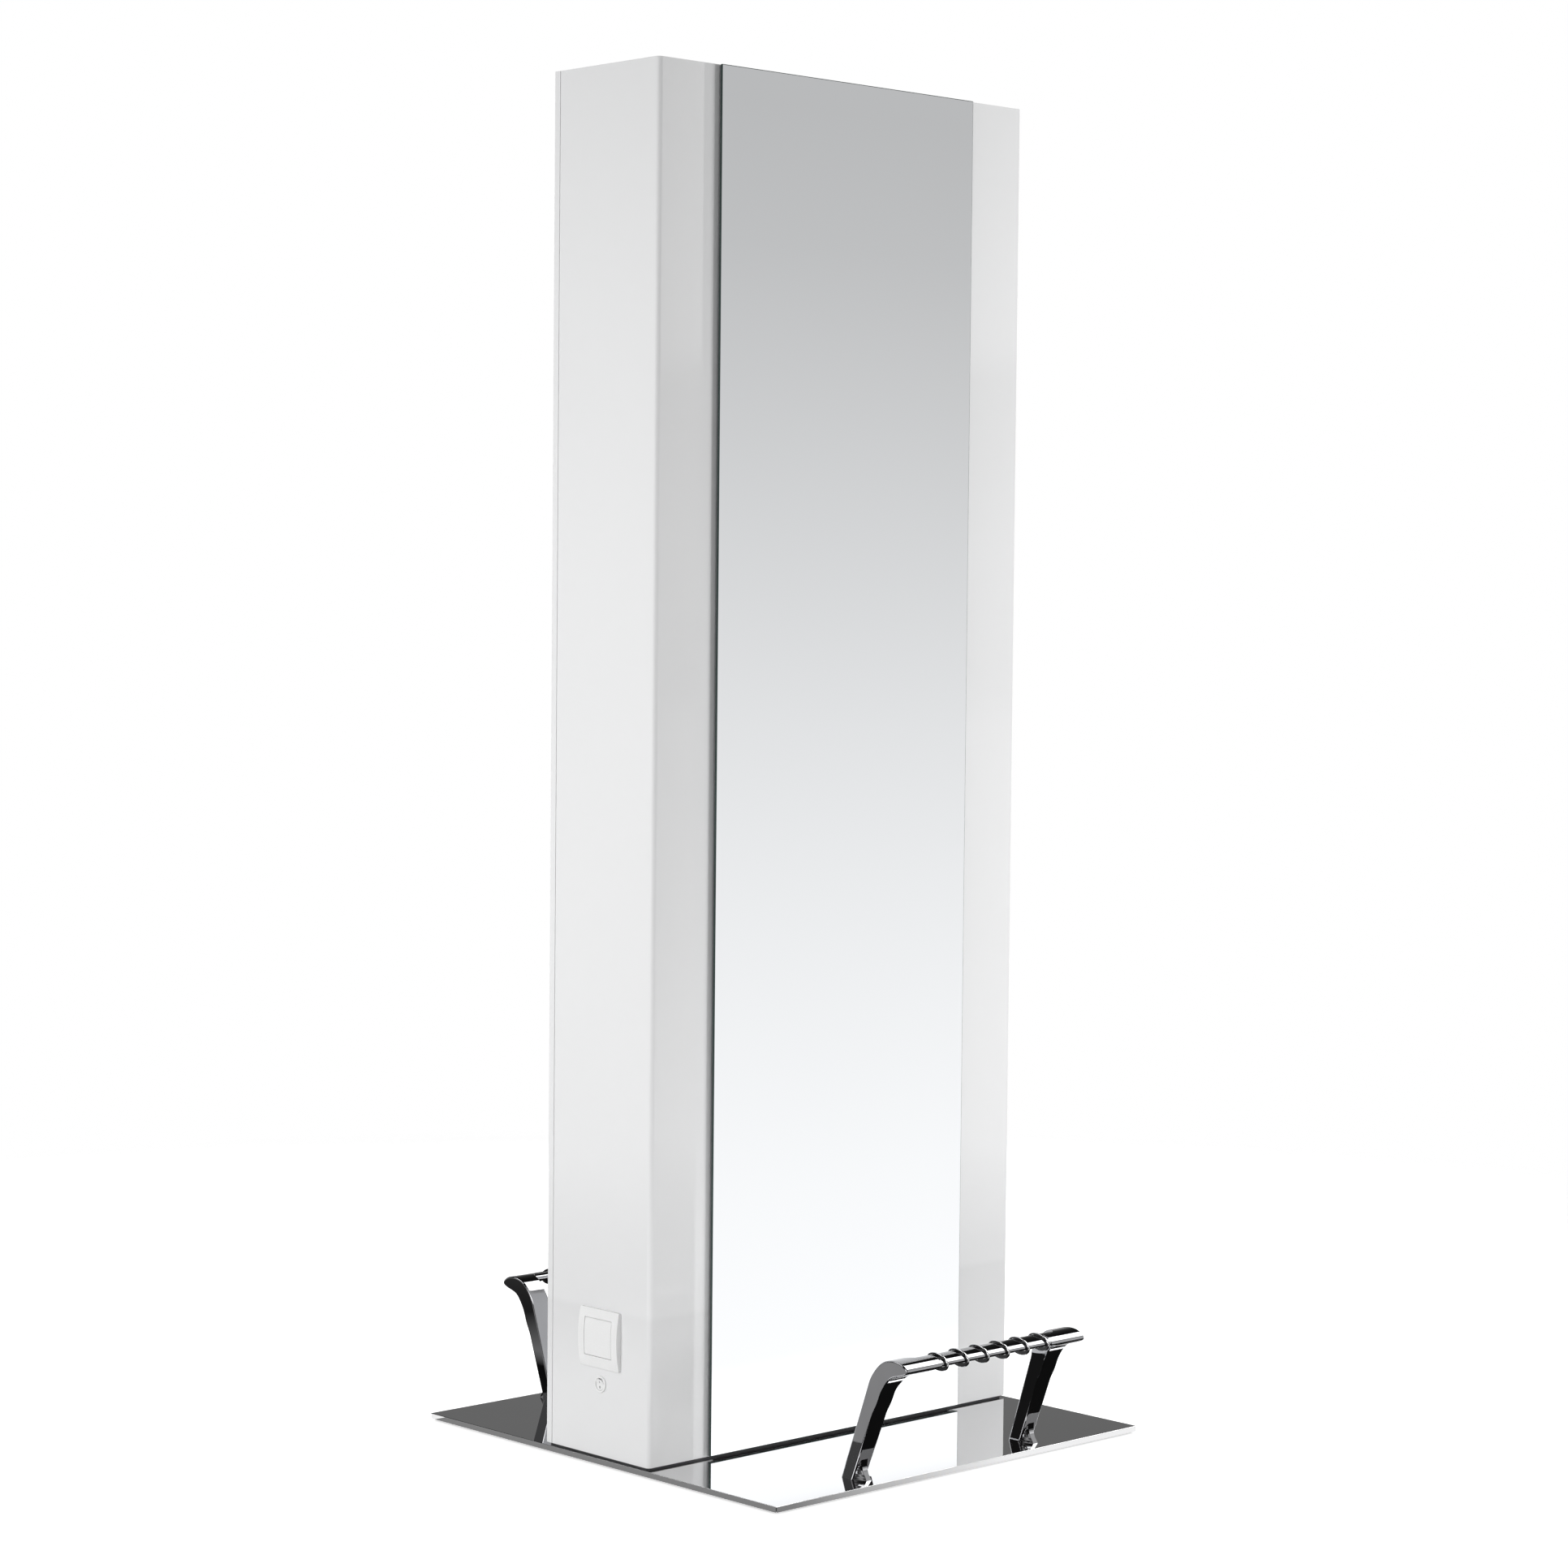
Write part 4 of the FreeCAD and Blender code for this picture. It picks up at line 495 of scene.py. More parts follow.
def end_cover():
    piece = bent_cover("opal_cover_left", cover_low, cover_high, cover_low.y, WIDE_BEND)
    socket_low, socket_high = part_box("socket_frame_left")
    body_low, body_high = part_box("switch_body_left")
    outer, inner = cover_low.x - TOOL_REACH, cover_low.x + TOOL_REACH
    window = block("window", (outer, socket_low.y + HIDDEN_RIM, socket_low.z + HIDDEN_RIM),
                   (inner, socket_high.y - HIDDEN_RIM, socket_high.z - HIDDEN_RIM))
    middle = (body_low + body_high) / 2
    bore = drum("bore", SWITCH_BORE, (outer, middle.y, middle.z), (inner, middle.y, middle.z))
    return combine(piece, "DIFFERENCE", window, bore)


def dress_sheet(sheet, node):
    round_edges(sheet, SHEET_EDGE, 2, SHEET_EDGE_ANGLE)
    sheet.data.materials.append(opal)
    hand_over_both(shade(sheet), "opal_cover", "station", node)


dress_sheet(end_cover(), "end_cover_left")
dress_sheet(bent_cover("opal_strip_rear", strip_low, strip_high, strip_high.y, TIGHT_BEND), "side_strip_rear")

# %% [markdown]
# A mirror is 4 mm of glass, silvered behind. Its front carries the reflection and its ground edge looks
# dark and slightly green, so the faces get one of two materials by the way they point.

# %% Mirrors
GROUND_EDGE = 0.0011
PANE_FACING = 0.99                     # how squarely a face looks along Y to carry the reflection


def mirror_pane(name, node):
    pane = round_edges(block(name, *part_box(node)), GROUND_EDGE, 2)
    paint_by_direction(pane, 1, PANE_FACING, silvered_glass, glass_edge)
    hand_over(shade(pane), "mirror_glass", "station", node)


mirror_pane("mirror_pane_front", "mirror_front")
mirror_pane("mirror_pane_rear", "mirror_rear")

# %% [markdown]
# A footrest is a polished casting: a leg leans away from the mirror, its head bends over forward into a
# nose, and its inner side flares out to a bar of oval section. The bar leans, so that its side towards
# the mirror is higher. Everything on it is an oval of points across the bar.

# %% Oval of a bar
OVAL_POINTS = 160
BAR_LEAN = math.radians(11)
BAR_HALF = (0.0170, 0.0067)            # half depth and half height
bar_low, bar_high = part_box("footrest_bar_front")
bar_centre = (bar_low + bar_high) / 2
plate_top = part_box("base_skin")[1].z


def leaning(depth, height):
    """A direction or an offset across the bar, turned with it."""
    return Vector((0, depth * math.cos(BAR_LEAN) - height * math.sin(BAR_LEAN),
                   depth * math.sin(BAR_LEAN) + height * math.cos(BAR_LEAN)))


def oval(x, half_depth, half_height, drop=0.0):
    turns = [2 * math.pi * k / OVAL_POINTS for k in range(OVAL_POINTS)]
    middle = Vector((x, bar_centre.y, bar_centre.z - drop))
    return [middle + leaning(half_depth * math.cos(a), half_height * math.sin(a)) for a in turns]


# %% [markdown]
# The CAD model has the shape of a leg with fine facets, so a welded copy of it is the quickest good way:
# its loose triangles become one skin. A mirror finish shows every uneven normal, though, and long thin
# facets give uneven ones. Round the head and on the collar the true direction is known from the curves
# that the casting was drawn with, so these faces get it exactly: the head follows a NURBS line through
# a few control points, and the collar is the oval of the bar.

# %% Side view of a head
leg_heel_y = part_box("footrest_leg_front_right")[1].y
HEAD_HEIGHT = 0.181                    # of the top of a head above the plate
head_top = plate_top + HEAD_HEIGHT
FOOT_THICK = 0.0218
# (forward of the heel, down from the top of the head), in millimetres
HEAD_BACK, HEAD_FRONT = (50.1, 38.0), (58.4, 86.0)
HEAD_PULLS = ((59.6, 20.4), (74.9, 4.8), (92.4, 0.4), (115.2, 0.6), (133.4, 16.6), (98.3, 23.2),
              (88.0, 30.5), (73.9, 50.2), (69.2, 67.5))
HEAD_LEAD_IN = 0.006
HEAD_STEPS = 64


def head_point(place):
    forward, down = place
    return Vector((0, leg_heel_y - forward / 1000, head_top - down / 1000))


def smooth_line(points, steps):
    """Points along a cubic NURBS curve that starts and ends on its first and last control points."""
    curve = bpy.data.curves.new("line", "CURVE")
    curve.dimensions = "3D"
    spline = curve.splines.new("NURBS")
    spline.points.add(len(points) - 1)
    for control, point in zip(spline.points, points):
        control.co = (*point, 1)
    spline.order_u, spline.use_endpoint_u, spline.resolution_u = 4, True, steps
    guide = bpy.data.objects.new("line", curve)
    bpy.context.scene.collection.objects.link(guide)
    mesh = bpy.data.meshes.new_from_object(guide.evaluated_get(bpy.context.evaluated_depsgraph_get()))
    found = [v.co.copy() for v in mesh.vertices]
    bpy.data.objects.remove(guide)
    bpy.data.curves.remove(curve)
    bpy.data.meshes.remove(mesh)
    return found


def head_line():
    heel = Vector((0, leg_heel_y, plate_top))
    ball = heel - Vector((0, FOOT_THICK, 0))
    back, front = head_point(HEAD_BACK), head_point(HEAD_FRONT)
    lead_in = back + (back - heel).normalized() * HEAD_LEAD_IN
    lead_out = front + (front - ball).normalized() * HEAD_LEAD_IN
    return smooth_line([back, lead_in] + [head_point(p) for p in HEAD_PULLS] + [lead_out, front], HEAD_STEPS)


head = head_line()
print("head: %d points, nose reaches y = %.1f mm" % (len(head), min(p.y for p in head) * 1000))

# %% True directions on the castings
ON_CURVE = 0.00025                     # a corner this near a curve lies on it
ON_OVAL = 0.02                         # the same for the collar, as a share of the oval
SQUARE_TO_SIDE = 0.03                  # how far a rounded wall may lean sideways
finder = KDTree(len(head))
for k, point in enumerate(head):
    finder.insert(point, k)
finder.balance()


def head_direction(y, z):
    """Outward direction of the head at a place of the front footrest's side view, or nothing."""
    _, k, gap = finder.find((0, y, z))
    if gap > ON_CURVE or not 0 < k < len(head) - 1:
        return None
    along_line = head[k + 1] - head[k - 1]
    return Vector((0, -along_line.z, along_line.y)).normalized()


def collar_direction(y, z):
    depth, height = y - bar_centre.y, z - bar_centre.z
    u = depth * math.cos(BAR_LEAN) + height * math.sin(BAR_LEAN)
    v = height * math.cos(BAR_LEAN) - depth * math.sin(BAR_LEAN)
    if abs((u / BAR_HALF[0]) ** 2 + (v / BAR_HALF[1]) ** 2 - 1) > ON_OVAL:
        return None
    return leaning(u / BAR_HALF[0] ** 2, v / BAR_HALF[1] ** 2).normalized()


def set_true_directions(piece, side):
    """Sets the corner normals of the rounded walls; side is -1 for the front footrest, 1 for the rear."""
    mesh = piece.data
    normals = [n.vector.copy() for n in mesh.corner_normals]
    for face in mesh.polygons:
        if abs(face.normal.x) > SQUARE_TO_SIDE:
            continue
        corners = [mesh.vertices[v].co for v in face.vertices]
        for known in (collar_direction, head_direction):
            found = [known(-side * p.y, p.z) for p in corners]
            if all(found):
                for loop, way in zip(face.loop_indices, found):
                    way = Vector((0, -side * way.y, way.z))
                    normals[loop] = way if way.dot(face.normal) > 0 else -way
                break
    mesh.normals_split_custom_set(normals)


# %% Legs of the footrests
for place in ("front_right", "front_left", "rear_right", "rear_left"):
    leg = welded_copy("footrest_leg_" + place, "footrest_casting_" + place, cast_chrome)
    set_true_directions(leg, -1 if place.startswith("front") else 1)
    hand_over(leg, "dark_chrome", "station", "footrest_leg_" + place)

# %% [markdown]
# Two rows of points joined by quads make the bar, with far more points round the oval than the CAD
# facets have, because the highlights along a bar show every corner of its section.

# %% Oval bars
def skin_of(name, rows, closed=False):
    """Shell through rows of points; its ends are filled, or meet where the rows form a closed loop."""
    points = [p for row in rows for p in row]
    count, last = len(rows[0]), len(rows) if closed else len(rows) - 1
    faces = []
    for r in range(last):
        here, there = r * count, (r + 1) % len(rows) * count
        for k in range(count):
            n = (k + 1) % count
            faces.append([here + k, here + n, there + n, there + k])
    if not closed:
        faces += [list(range(count))[::-1], [len(points) - count + k for k in range(count)]]
    return facing_outwards(new_piece(name, mesh_from(name, points, faces)))


bar = skin_of("footrest_oval_bar_front", [oval(x, *BAR_HALF) for x in (bar_low.x, bar_high.x)])
bar.data.materials.append(cast_chrome)
hand_over_both(shade(bar), "dark_chrome", "station", "footrest_bar_front")

# %% [markdown]
# Six rubber rings are pushed over each bar. A ring is an oval washer that hangs a little deeper below the
# bar than it stands above it. Its round rim gets a bright polished metal finish instead of black rubber:
# a painted highlight. One ring is made from rows of points round its section; they are all alike and
# evenly spaced, so Geometry Nodes then put a copy on every point of a line. The copies are made real
# before the material goes on.

# %% Geometry Nodes helpers
def node_tree(name, sizes, works_on=None):
    """An empty tree with a named number input for each size, after the mesh input if it has one."""
    tree = bpy.data.node_groups.new(name, "GeometryNodeTree")
    tree.interface.new_socket("Geometry", in_out="OUTPUT", socket_type="NodeSocketGeometry")
    if works_on:
        tree.interface.new_socket(works_on, in_out="INPUT", socket_type="NodeSocketGeometry")
    for size, value in sizes.items():
        kind = "NodeSocketInt" if isinstance(value, int) else "NodeSocketFloat"
        tree.interface.new_socket(size, in_out="INPUT", socket_type=kind).default_value = value
    return tree, tree.nodes.new("NodeGroupInput"), tree.nodes.new("NodeGroupOutput")


def made_by(piece, tree, sizes=()):
    """Runs a tree on a piece and keeps the result as its mesh."""
    modifier = piece.modifiers.new("maker", "NODES")
    modifier.node_group = tree
    for item in tree.interface.items_tree:
        if item.in_out == "INPUT" and item.name in sizes:
            modifier[item.identifier] = sizes[item.name]
    return apply_modifiers(piece)


def put_copies(tree, points, one, output, material):
    """Puts a real copy of one thing on every point and gives them all a material."""
    copies = add_node(tree, "GeometryNodeInstanceOnPoints", {"Points": points, "Instance": one})
    real = add_node(tree, "GeometryNodeRealizeInstances", {"Geometry": copies.outputs["Instances"]})
    inputs = {"Geometry": real.outputs["Geometry"], "Material": material}
    painted = add_node(tree, "GeometryNodeSetMaterial", inputs)
    tree.links.new(painted.outputs["Geometry"], output.inputs["Geometry"])


# %% One ring
RING_THICKNESS = 0.0034
RING_HALF = (0.0212, 0.0123)
RING_DROP = 0.0017                     # its middle below the middle of the bar
RING_ROUND = 0.0015
RING_PLAY = 0.0003                     # round the bar
ROUND_STEPS = 6
RIM_FACING = 0.9                       # how squarely a face looks along X to count as flat


def rim_profile():
    """Inset from the rim and sideways place, from one face of the ring to the other."""
    side = RING_THICKNESS / 2 - RING_ROUND
    line = []
    for k in range(ROUND_STEPS + 1):
        a = math.pi / 2 * k / ROUND_STEPS
        line.append((RING_ROUND * (1 - math.sin(a)), side + RING_ROUND * math.cos(a)))
    return line + [(inset, -x) for inset, x in reversed(line)]


def oval_ring():
    hole = oval(0, BAR_HALF[0] + RING_PLAY, BAR_HALF[1] + RING_PLAY)
    rim = oval(0, *RING_HALF, RING_DROP)
    inward = [(a - b).normalized() for a, b in zip(hole, rim)]
    half = Vector((RING_THICKNESS / 2, 0, 0))
    rows = [[p - half for p in hole], [p + half for p in hole]]
    for inset, x in rim_profile():
        rows.append([p + way * inset + Vector((x, 0, 0)) for p, way in zip(rim, inward)])
    return skin_of("ring", rows, True)


# %% Rings on a bar
RING_COUNT = 6
ring_low, ring_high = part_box("footrest_rings_front")
ring_pitch = (ring_high.x - ring_low.x - RING_THICKNESS) / (RING_COUNT - 1)


def ring_tree():
    tree, inputs, output = node_tree("rings_on_a_bar", {"Count": RING_COUNT, "Pitch": ring_pitch})
    tree.interface.new_socket("Ring", in_out="INPUT", socket_type="NodeSocketObject")
    ring = add_node(tree, "GeometryNodeObjectInfo", {"Object": inputs.outputs["Ring"]})
    step = add_node(tree, "ShaderNodeCombineXYZ", {"X": inputs.outputs["Pitch"]})
    places = {"Count": inputs.outputs["Count"], "Offset": step.outputs["Vector"]}
    line = add_node(tree, "GeometryNodeMeshLine", places)
    put_copies(tree, line.outputs["Mesh"], ring.outputs["Geometry"], output, black_rubber)
    return tree


one_ring = oval_ring()
ring_sizes = {"Count": RING_COUNT, "Pitch": ring_pitch, "Ring": one_ring}
rings = new_piece("rubber_rings_front", bpy.data.meshes.new("rubber_rings_front"))
made_by(rings, ring_tree(), ring_sizes)
rings.data.transform(Matrix.Translation((ring_low.x + RING_THICKNESS / 2, 0, 0)))
bpy.data.objects.remove(one_ring)
# the faces that look along X stay black rubber; the rim gets the painted highlight finish
paint_by_direction(rings, 0, RIM_FACING, black_rubber, rim_highlight_finish)
hand_over_both(shade(rings), "black_rubber", "station", "footrest_rings_front")

# %% [markdown]
# The plate stands on clear bumpers, the kind that comes on a sheet: short domes that are glued into the
# hollow under the skin. Their places are not evenly spaced, so the tree puts one on each point of a
# mesh that holds only those places.

# %% Clear bumpers
BUMPER_RADIUS = 0.004
BUMPER_INSETS = (0.044, 0.110, 0.177)  # from a corner of the plate, along its end edge
DOME_SEGMENTS, DOME_RINGS = 24, 12
CUT_TOLERANCE = 0.00001                # a corner this near the cut counts as on it
feet_high, skin_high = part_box("base_feet")[1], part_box("base_skin")[1]


def bumper_tree():
    sizes = {"Radius": BUMPER_RADIUS, "Height": feet_high.z}
    tree, inputs, output = node_tree("bumpers", sizes, "Places")
    ball = {"Segments": DOME_SEGMENTS, "Rings": DOME_RINGS, "Radius": 1.0}
    dome = add_node(tree, "GeometryNodeMeshUVSphere", ball)
    radius, height = inputs.outputs["Radius"], inputs.outputs["Height"]
    size = add_node(tree, "ShaderNodeCombineXYZ", {"X": radius, "Y": radius, "Z": height})
    scaled = {"Geometry": dome.outputs["Mesh"], "Scale": size.outputs["Vector"]}
    squat = add_node(tree, "GeometryNodeTransform", scaled)
    soft = add_node(tree, "GeometryNodeSetShadeSmooth", {"Geometry": squat.outputs["Geometry"]})
    put_copies(tree, inputs.outputs["Places"], soft.outputs["Geometry"], output, clear_bumper)
    return tree


def bumper_places():
    x = feet_high.x - BUMPER_RADIUS
    rows = [skin_high.y - inset for inset in BUMPER_INSETS]
    return [(sx * x, sy * y, feet_high.z) for sx in (-1, 1) for y in rows for sy in (-1, 1)]


bumpers = new_piece("clear_bumpers", mesh_from("clear_bumpers", bumper_places(), []))
made_by(bumpers, bumper_tree())
with opened(bumpers) as domes:
    cut_level(domes, feet_high.z, dist=CUT_TOLERANCE, clear_outer=True)
    bmesh.ops.holes_fill(domes, edges=[e for e in domes.edges if e.is_boundary], sides=0)
hand_over(bumpers, "clear_rubber", "station", "base_feet")

# %% [markdown]
# The socket is a square moulded frame with a flap that lies flush in it. Frame and flap share one
# gently crowned face, a piece of a large cylinder that lies level. Both start as flat slabs with
# rounded edges, are cut into many level strips, and are then laid over that cylinder point by point.

# %% Crowned plastic
CROWN_RADIUS = 0.190
CROWN_STRIPS = 28
frame_low, frame_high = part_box("socket_frame_left")
lid_low, lid_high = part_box("socket_lid_left")
cover_face = cover_low.x
frame_proud = cover_face - frame_low.x
socket_middle = (frame_low + frame_high) / 2


def crown_fall(z):
    """How far the crowned face lies behind its highest line at height z."""
    return CROWN_RADIUS - math.sqrt(CROWN_RADIUS ** 2 - (z - socket_middle.z) ** 2)


def cut_level_strips(piece):
    with opened(piece) as shape:
        low, high = min(v.co.z for v in shape.verts), max(v.co.z for v in shape.verts)
        for k in range(1, CROWN_STRIPS):
            cut_level(shape, low + (high - low) * k / CROWN_STRIPS)


def slab(name, u_low, u_high, low, high, inset=0.0):
    """A block outside the left cover from u_low to u_high, as wide and tall as a box less an inset."""
    return block(name, (cover_face - u_high, low.y + inset, low.z + inset),
                 (cover_face - u_low, high.y - inset, high.z - inset))


def round_end_corners(piece, radius):
    """Rounds the four corners that are seen from the end."""
    with opened(piece) as shape:
        corners = [e for e in shape.edges if abs((e.verts[0].co - e.verts[1].co).normalized().x) > 0.99]
        bmesh.ops.bevel(shape, geom=corners, offset=radius, segments=6, profile=0.5, affect="EDGES")


# %% Socket frame
LID_GAP = 0.0006
FRAME_CORNER, FRAME_EDGE = 0.0026, 0.00045
POCKET_DEPTH, POCKET_RIM = 0.002, 0.0067
WINDOW_REACH = 0.02


def socket_frame():
    piece = slab("socket_surround_left", 0, frame_proud, frame_low, frame_high)
    round_end_corners(piece, FRAME_CORNER)
    window = slab("window", -TOOL_REACH, WINDOW_REACH, lid_low, lid_high, -LID_GAP)
    pocket = slab("pocket", -TOOL_REACH, POCKET_DEPTH, frame_low, frame_high, POCKET_RIM)
    combine(piece, "DIFFERENCE", window, pocket)
    round_edges(piece, FRAME_EDGE)
    cut_level_strips(piece)
    for vertex in piece.data.vertices:
        share = max(0.0, (cover_face - vertex.co.x) / frame_proud)
        vertex.co.x += crown_fall(vertex.co.z) * share
    piece.data.materials.append(white_plastic)
    return shade(piece)


hand_over_both(socket_frame(), "white_plastic", "station", "socket_frame_left")

# %% Flap over the socket
LID_SINK, LID_SHEET = 0.0002, 0.0025
KNUCKLE = 0.0023
EAR_WIDTH = 0.0026
SPRING_POCKET, SPRING_ROOM = 0.007, 0.0005
NOTCH_PAST = 0.001                     # of a notch past the end of the flap
LID_EDGE = 0.0004
hinges = {joint["name"]: joint for joint in frame["joints"]}
pin_x, pin_y, pin_z = hinges["lid_left_hinge"]["pos_m"]


def drum_on_pin(name, radius, start, end):
    return drum(name, radius, (pin_x, start, pin_z), (pin_x, end, pin_z), 48)


def socket_lid():
    front = frame_proud - LID_SINK
    piece = slab("socket_flap_left", front - LID_SHEET, front, lid_low, Vector((0, lid_high.y, pin_z)))
    round_edges(piece, LID_EDGE)
    cut_level_strips(piece)
    for vertex in piece.data.vertices:
        vertex.co.x += crown_fall(vertex.co.z)
    combine(piece, "UNION", drum_on_pin("knuckle", KNUCKLE, lid_low.y, lid_high.y))
    reach, notch, half = KNUCKLE + LID_GAP / 2, EAR_WIDTH + LID_GAP / 2, SPRING_POCKET / 2
    ends = [drum_on_pin("notch", reach, lid_low.y - NOTCH_PAST, lid_low.y + notch),
            drum_on_pin("notch", reach, lid_high.y - notch, lid_high.y + NOTCH_PAST)]
    pocket = block("pocket", (pin_x - SPRING_ROOM, pin_y - half, pin_z - reach),
                   (pin_x + reach, pin_y + half, pin_z + reach))
    combine(piece, "DIFFERENCE", *ends, pocket)
    piece.data.materials.append(white_plastic)
    return shade(piece)


hand_over_both(socket_lid(), "white_plastic", "lid_left", "socket_lid_left")

# %% [markdown]
# The pieces behind the flap and the round switch have the right shape already, but a CAD mesh is loose
# triangles, which look faceted on glossy plastic. A copy is welded and shaded smooth.

# %% Welded copies of small mouldings
ROCKER_EDGE = 0.0002
for side in ("left", "right"):
    for node, name, body, edge in (("socket_insert_", "socket_cup_", "station", 0.0),
                                   ("switch_body_", "switch_bezel_", "station", 0.0),
                                   ("switch_rocker_", "round_rocker_", "rocker_" + side, ROCKER_EDGE)):
        moulding = welded_copy(node + side, name + side, white_plastic, edge)
        hand_over(moulding, "white_plastic", body, node + side)

# %% [markdown]
# The rocker carries the two marks that every such switch has: a bar for on and a ring for off. They are
# thin raised prints that lie on the two slopes of the rocker and tilt with it.

# %% Marks on the rockers
MARK_OFFSET = 0.0037                   # from the middle of the rocker
MARK_THICK, MARK_SINK = 0.00008, 0.00005
MARK_POINTS = 40
# half width and half height of the outside and of the inside, and how round the outline is
BAR_MARK = ((0.00040, 0.00160), (0.00004, 0.00120), 0.35)
RING_MARK = ((0.0016, 0.0016), (0.00095, 0.00095), 1.0)
ROCKER_CREST, ROCKER_VALLEY, ROCKER_HALF = 0.0026, 0.0012, 0.0083
ROCKER_REST = math.radians(-6)
rocker_pivot = Vector(hinges["rocker_left_tilt"]["pos_m"])


def mark_place(up):
    """Turns a flat mark, drawn in the YZ plane at the origin, onto one slope of the left rocker."""
    slope = math.atan((ROCKER_CREST - ROCKER_VALLEY) / ROCKER_HALF)
    height = ROCKER_VALLEY + MARK_OFFSET * math.tan(slope)
    spot = Vector((cover_face - height, rocker_pivot.y, rocker_pivot.z + up * MARK_OFFSET))
    lie = Matrix.Translation(spot) @ Matrix.Rotation(-up * slope, 4, "Y")
    to_pivot = Matrix.Translation(rocker_pivot)
    return to_pivot @ Matrix.Rotation(ROCKER_REST, 4, "Y") @ Matrix.Translation(-rocker_pivot) @ lie


def mark_outline(half_width, half_height, power):
    line = []
    for k in range(MARK_POINTS):
        a = 2 * math.pi * k / MARK_POINTS
        y, z = [math.copysign(abs(share) ** power, share) for share in (math.cos(a), math.sin(a))]
        line.append((half_width * y, half_height * z))
    return line


def mark_piece(name, sizes, up):
    """A flat band between two outlines."""
    outside, inside, power = sizes
    outer, inner, count = mark_outline(*outside, power), mark_outline(*inside, power), MARK_POINTS
    points = [Vector((x, y, z)) for x in (MARK_SINK, -MARK_THICK) for line in (outer, inner) for y, z in line]
    faces = []
    for k in range(count):
        n = (k + 1) % count
        faces += [[k, n, count + n, count + k], [2 * count + k, 3 * count + k, 3 * count + n, 2 * count + n],
                  [k, 2 * count + k, 2 * count + n, n], [count + k, count + n, 3 * count + n, 3 * count + k]]
    piece = facing_outwards(new_piece(name, mesh_from(name, points, faces), mark_ink))
    piece.data.transform(mark_place(up))
    return piece


on_mark = mark_piece("on_mark_left", BAR_MARK, 1)
off_mark = mark_piece("off_mark_left", RING_MARK, -1)
for mark in (on_mark, off_mark):
    hand_over_both(mark, "black_rubber", "rocker_left")

# %% [markdown]
# The stage is a pale floor that fades into a white background. Only rays from the camera see the white;
# bright metal sees a studio instead: light along the horizon, dark above, with a few softboxes. That
# contrast is what makes chrome look like chrome. Each softbox is a soft-edged patch of the sky, so it
# needs no lamp of its own.

# %% Studio around the object
AMBIENT = 0.35
# elevation in degrees, brightness that metal sees there
STUDIO_LEVELS = ((-90, 0.4), (-14, 0.55), (-2, 0.55), (4, 0.5), (8, 0.34), (10.5, 0.17), (14, 0.15),
                 (18, 0.05), (34, 0.015), (90, 0.01))
# azimuth from +X and elevation in degrees, half width, half height, soft edge, brightness
SOFTBOXES = ((-4, 46, 0.250, 0.24, 0.010, 4.5),      # over the right end, the bright line along a bar
             (-32, 25, 0.30, 0.26, 0.12, 0.8),       # soft light below that line
             (-42.3, 7.5, 0.110, 0.063, 0.004, 0.9), (-42.1, 1.0, 0.16, 0.03, 0.03, 0.4),
             (-42.3, -5.6, 0.110, 0.070, 0.004, 0.45),       # three panels that the covers reflect
             (-150, 34, 0.40, 0.20, 0.04, 3.2),              # over the front left
             (138, 42, 0.30, 0.14, 0.020, 3.0),              # over the back left
             (22, 13, 0.25, 0.040, 0.040, 0.07))


def calculate(tree, operation, a, b=0.0):
    return add_node(tree, "ShaderNodeMath", {0: a, 1: b}, operation=operation).outputs["Value"]


def times(tree, a, b):
    return calculate(tree, "MULTIPLY", a, b)


def along(tree, vector, axis):
    product = add_node(tree, "ShaderNodeVectorMath", {0: vector, 1: axis}, operation="DOT_PRODUCT")
    return product.outputs["Value"]


def mix_shaders(tree, factor, first, second):
    """The first shader where the factor is 0 and the second where it is 1."""
    return add_node(tree, "ShaderNodeMixShader", {"Fac": factor, 1: first, 2: second}).outputs["Shader"]


def background(tree, strength):
    inputs = {"Color": (1, 1, 1, 1), "Strength": strength}
    return add_node(tree, "ShaderNodeBackground", inputs).outputs["Background"]


def softbox(tree, direction, azimuth, elevation, half_width, half_height, edge, level):
    """Brightness of a patch of the sky."""
    a, e = math.radians(azimuth), math.radians(elevation)
    middle = Vector((math.cos(a) * math.cos(e), math.sin(a) * math.cos(e), math.sin(e)))
    side = Vector((-math.sin(a), math.cos(a), 0))
    inside = calculate(tree, "GREATER_THAN", along(tree, direction, middle))
    for axis, half in ((side, half_width), (middle.cross(side), half_height)):
        off = calculate(tree, "ABSOLUTE", along(tree, direction, axis))
        inside = times(tree, inside, spread(tree, off, 1.0, 0.0, half - edge, half + edge))
    return times(tree, inside, level)


def studio_world():
    world = bpy.data.worlds.new("studio")
    bpy.context.scene.world = world
    world.use_nodes = True
    tree = world.node_tree
    tree.nodes.clear()
    direction = add_node(tree, "ShaderNodeTexCoord").outputs["Generated"]
    tones = [((math.sin(math.radians(height)) + 1) / 2, [level] * 3) for height, level in STUDIO_LEVELS]
    sky = tone_ramp(tree, spread(tree, along(tree, direction, (0, 0, 1)), 0, 1, -1, 1), tones)
    level = calculate(tree, "ADD", sky)
    for box in SOFTBOXES:
        level = calculate(tree, "ADD", level, softbox(tree, direction, *box))
    rays = add_node(tree, "ShaderNodeLightPath")
    lit = mix_shaders(tree, rays.outputs["Is Glossy Ray"], background(tree, AMBIENT), background(tree, level))
    seen = mix_shaders(tree, rays.outputs["Is Camera Ray"], lit, background(tree, 1.0))
    add_node(tree, "ShaderNodeOutputWorld", {"Surface": seen})


studio_world()
print("studio: %d levels, %d softboxes" % (len(STUDIO_LEVELS), len(SOFTBOXES)))

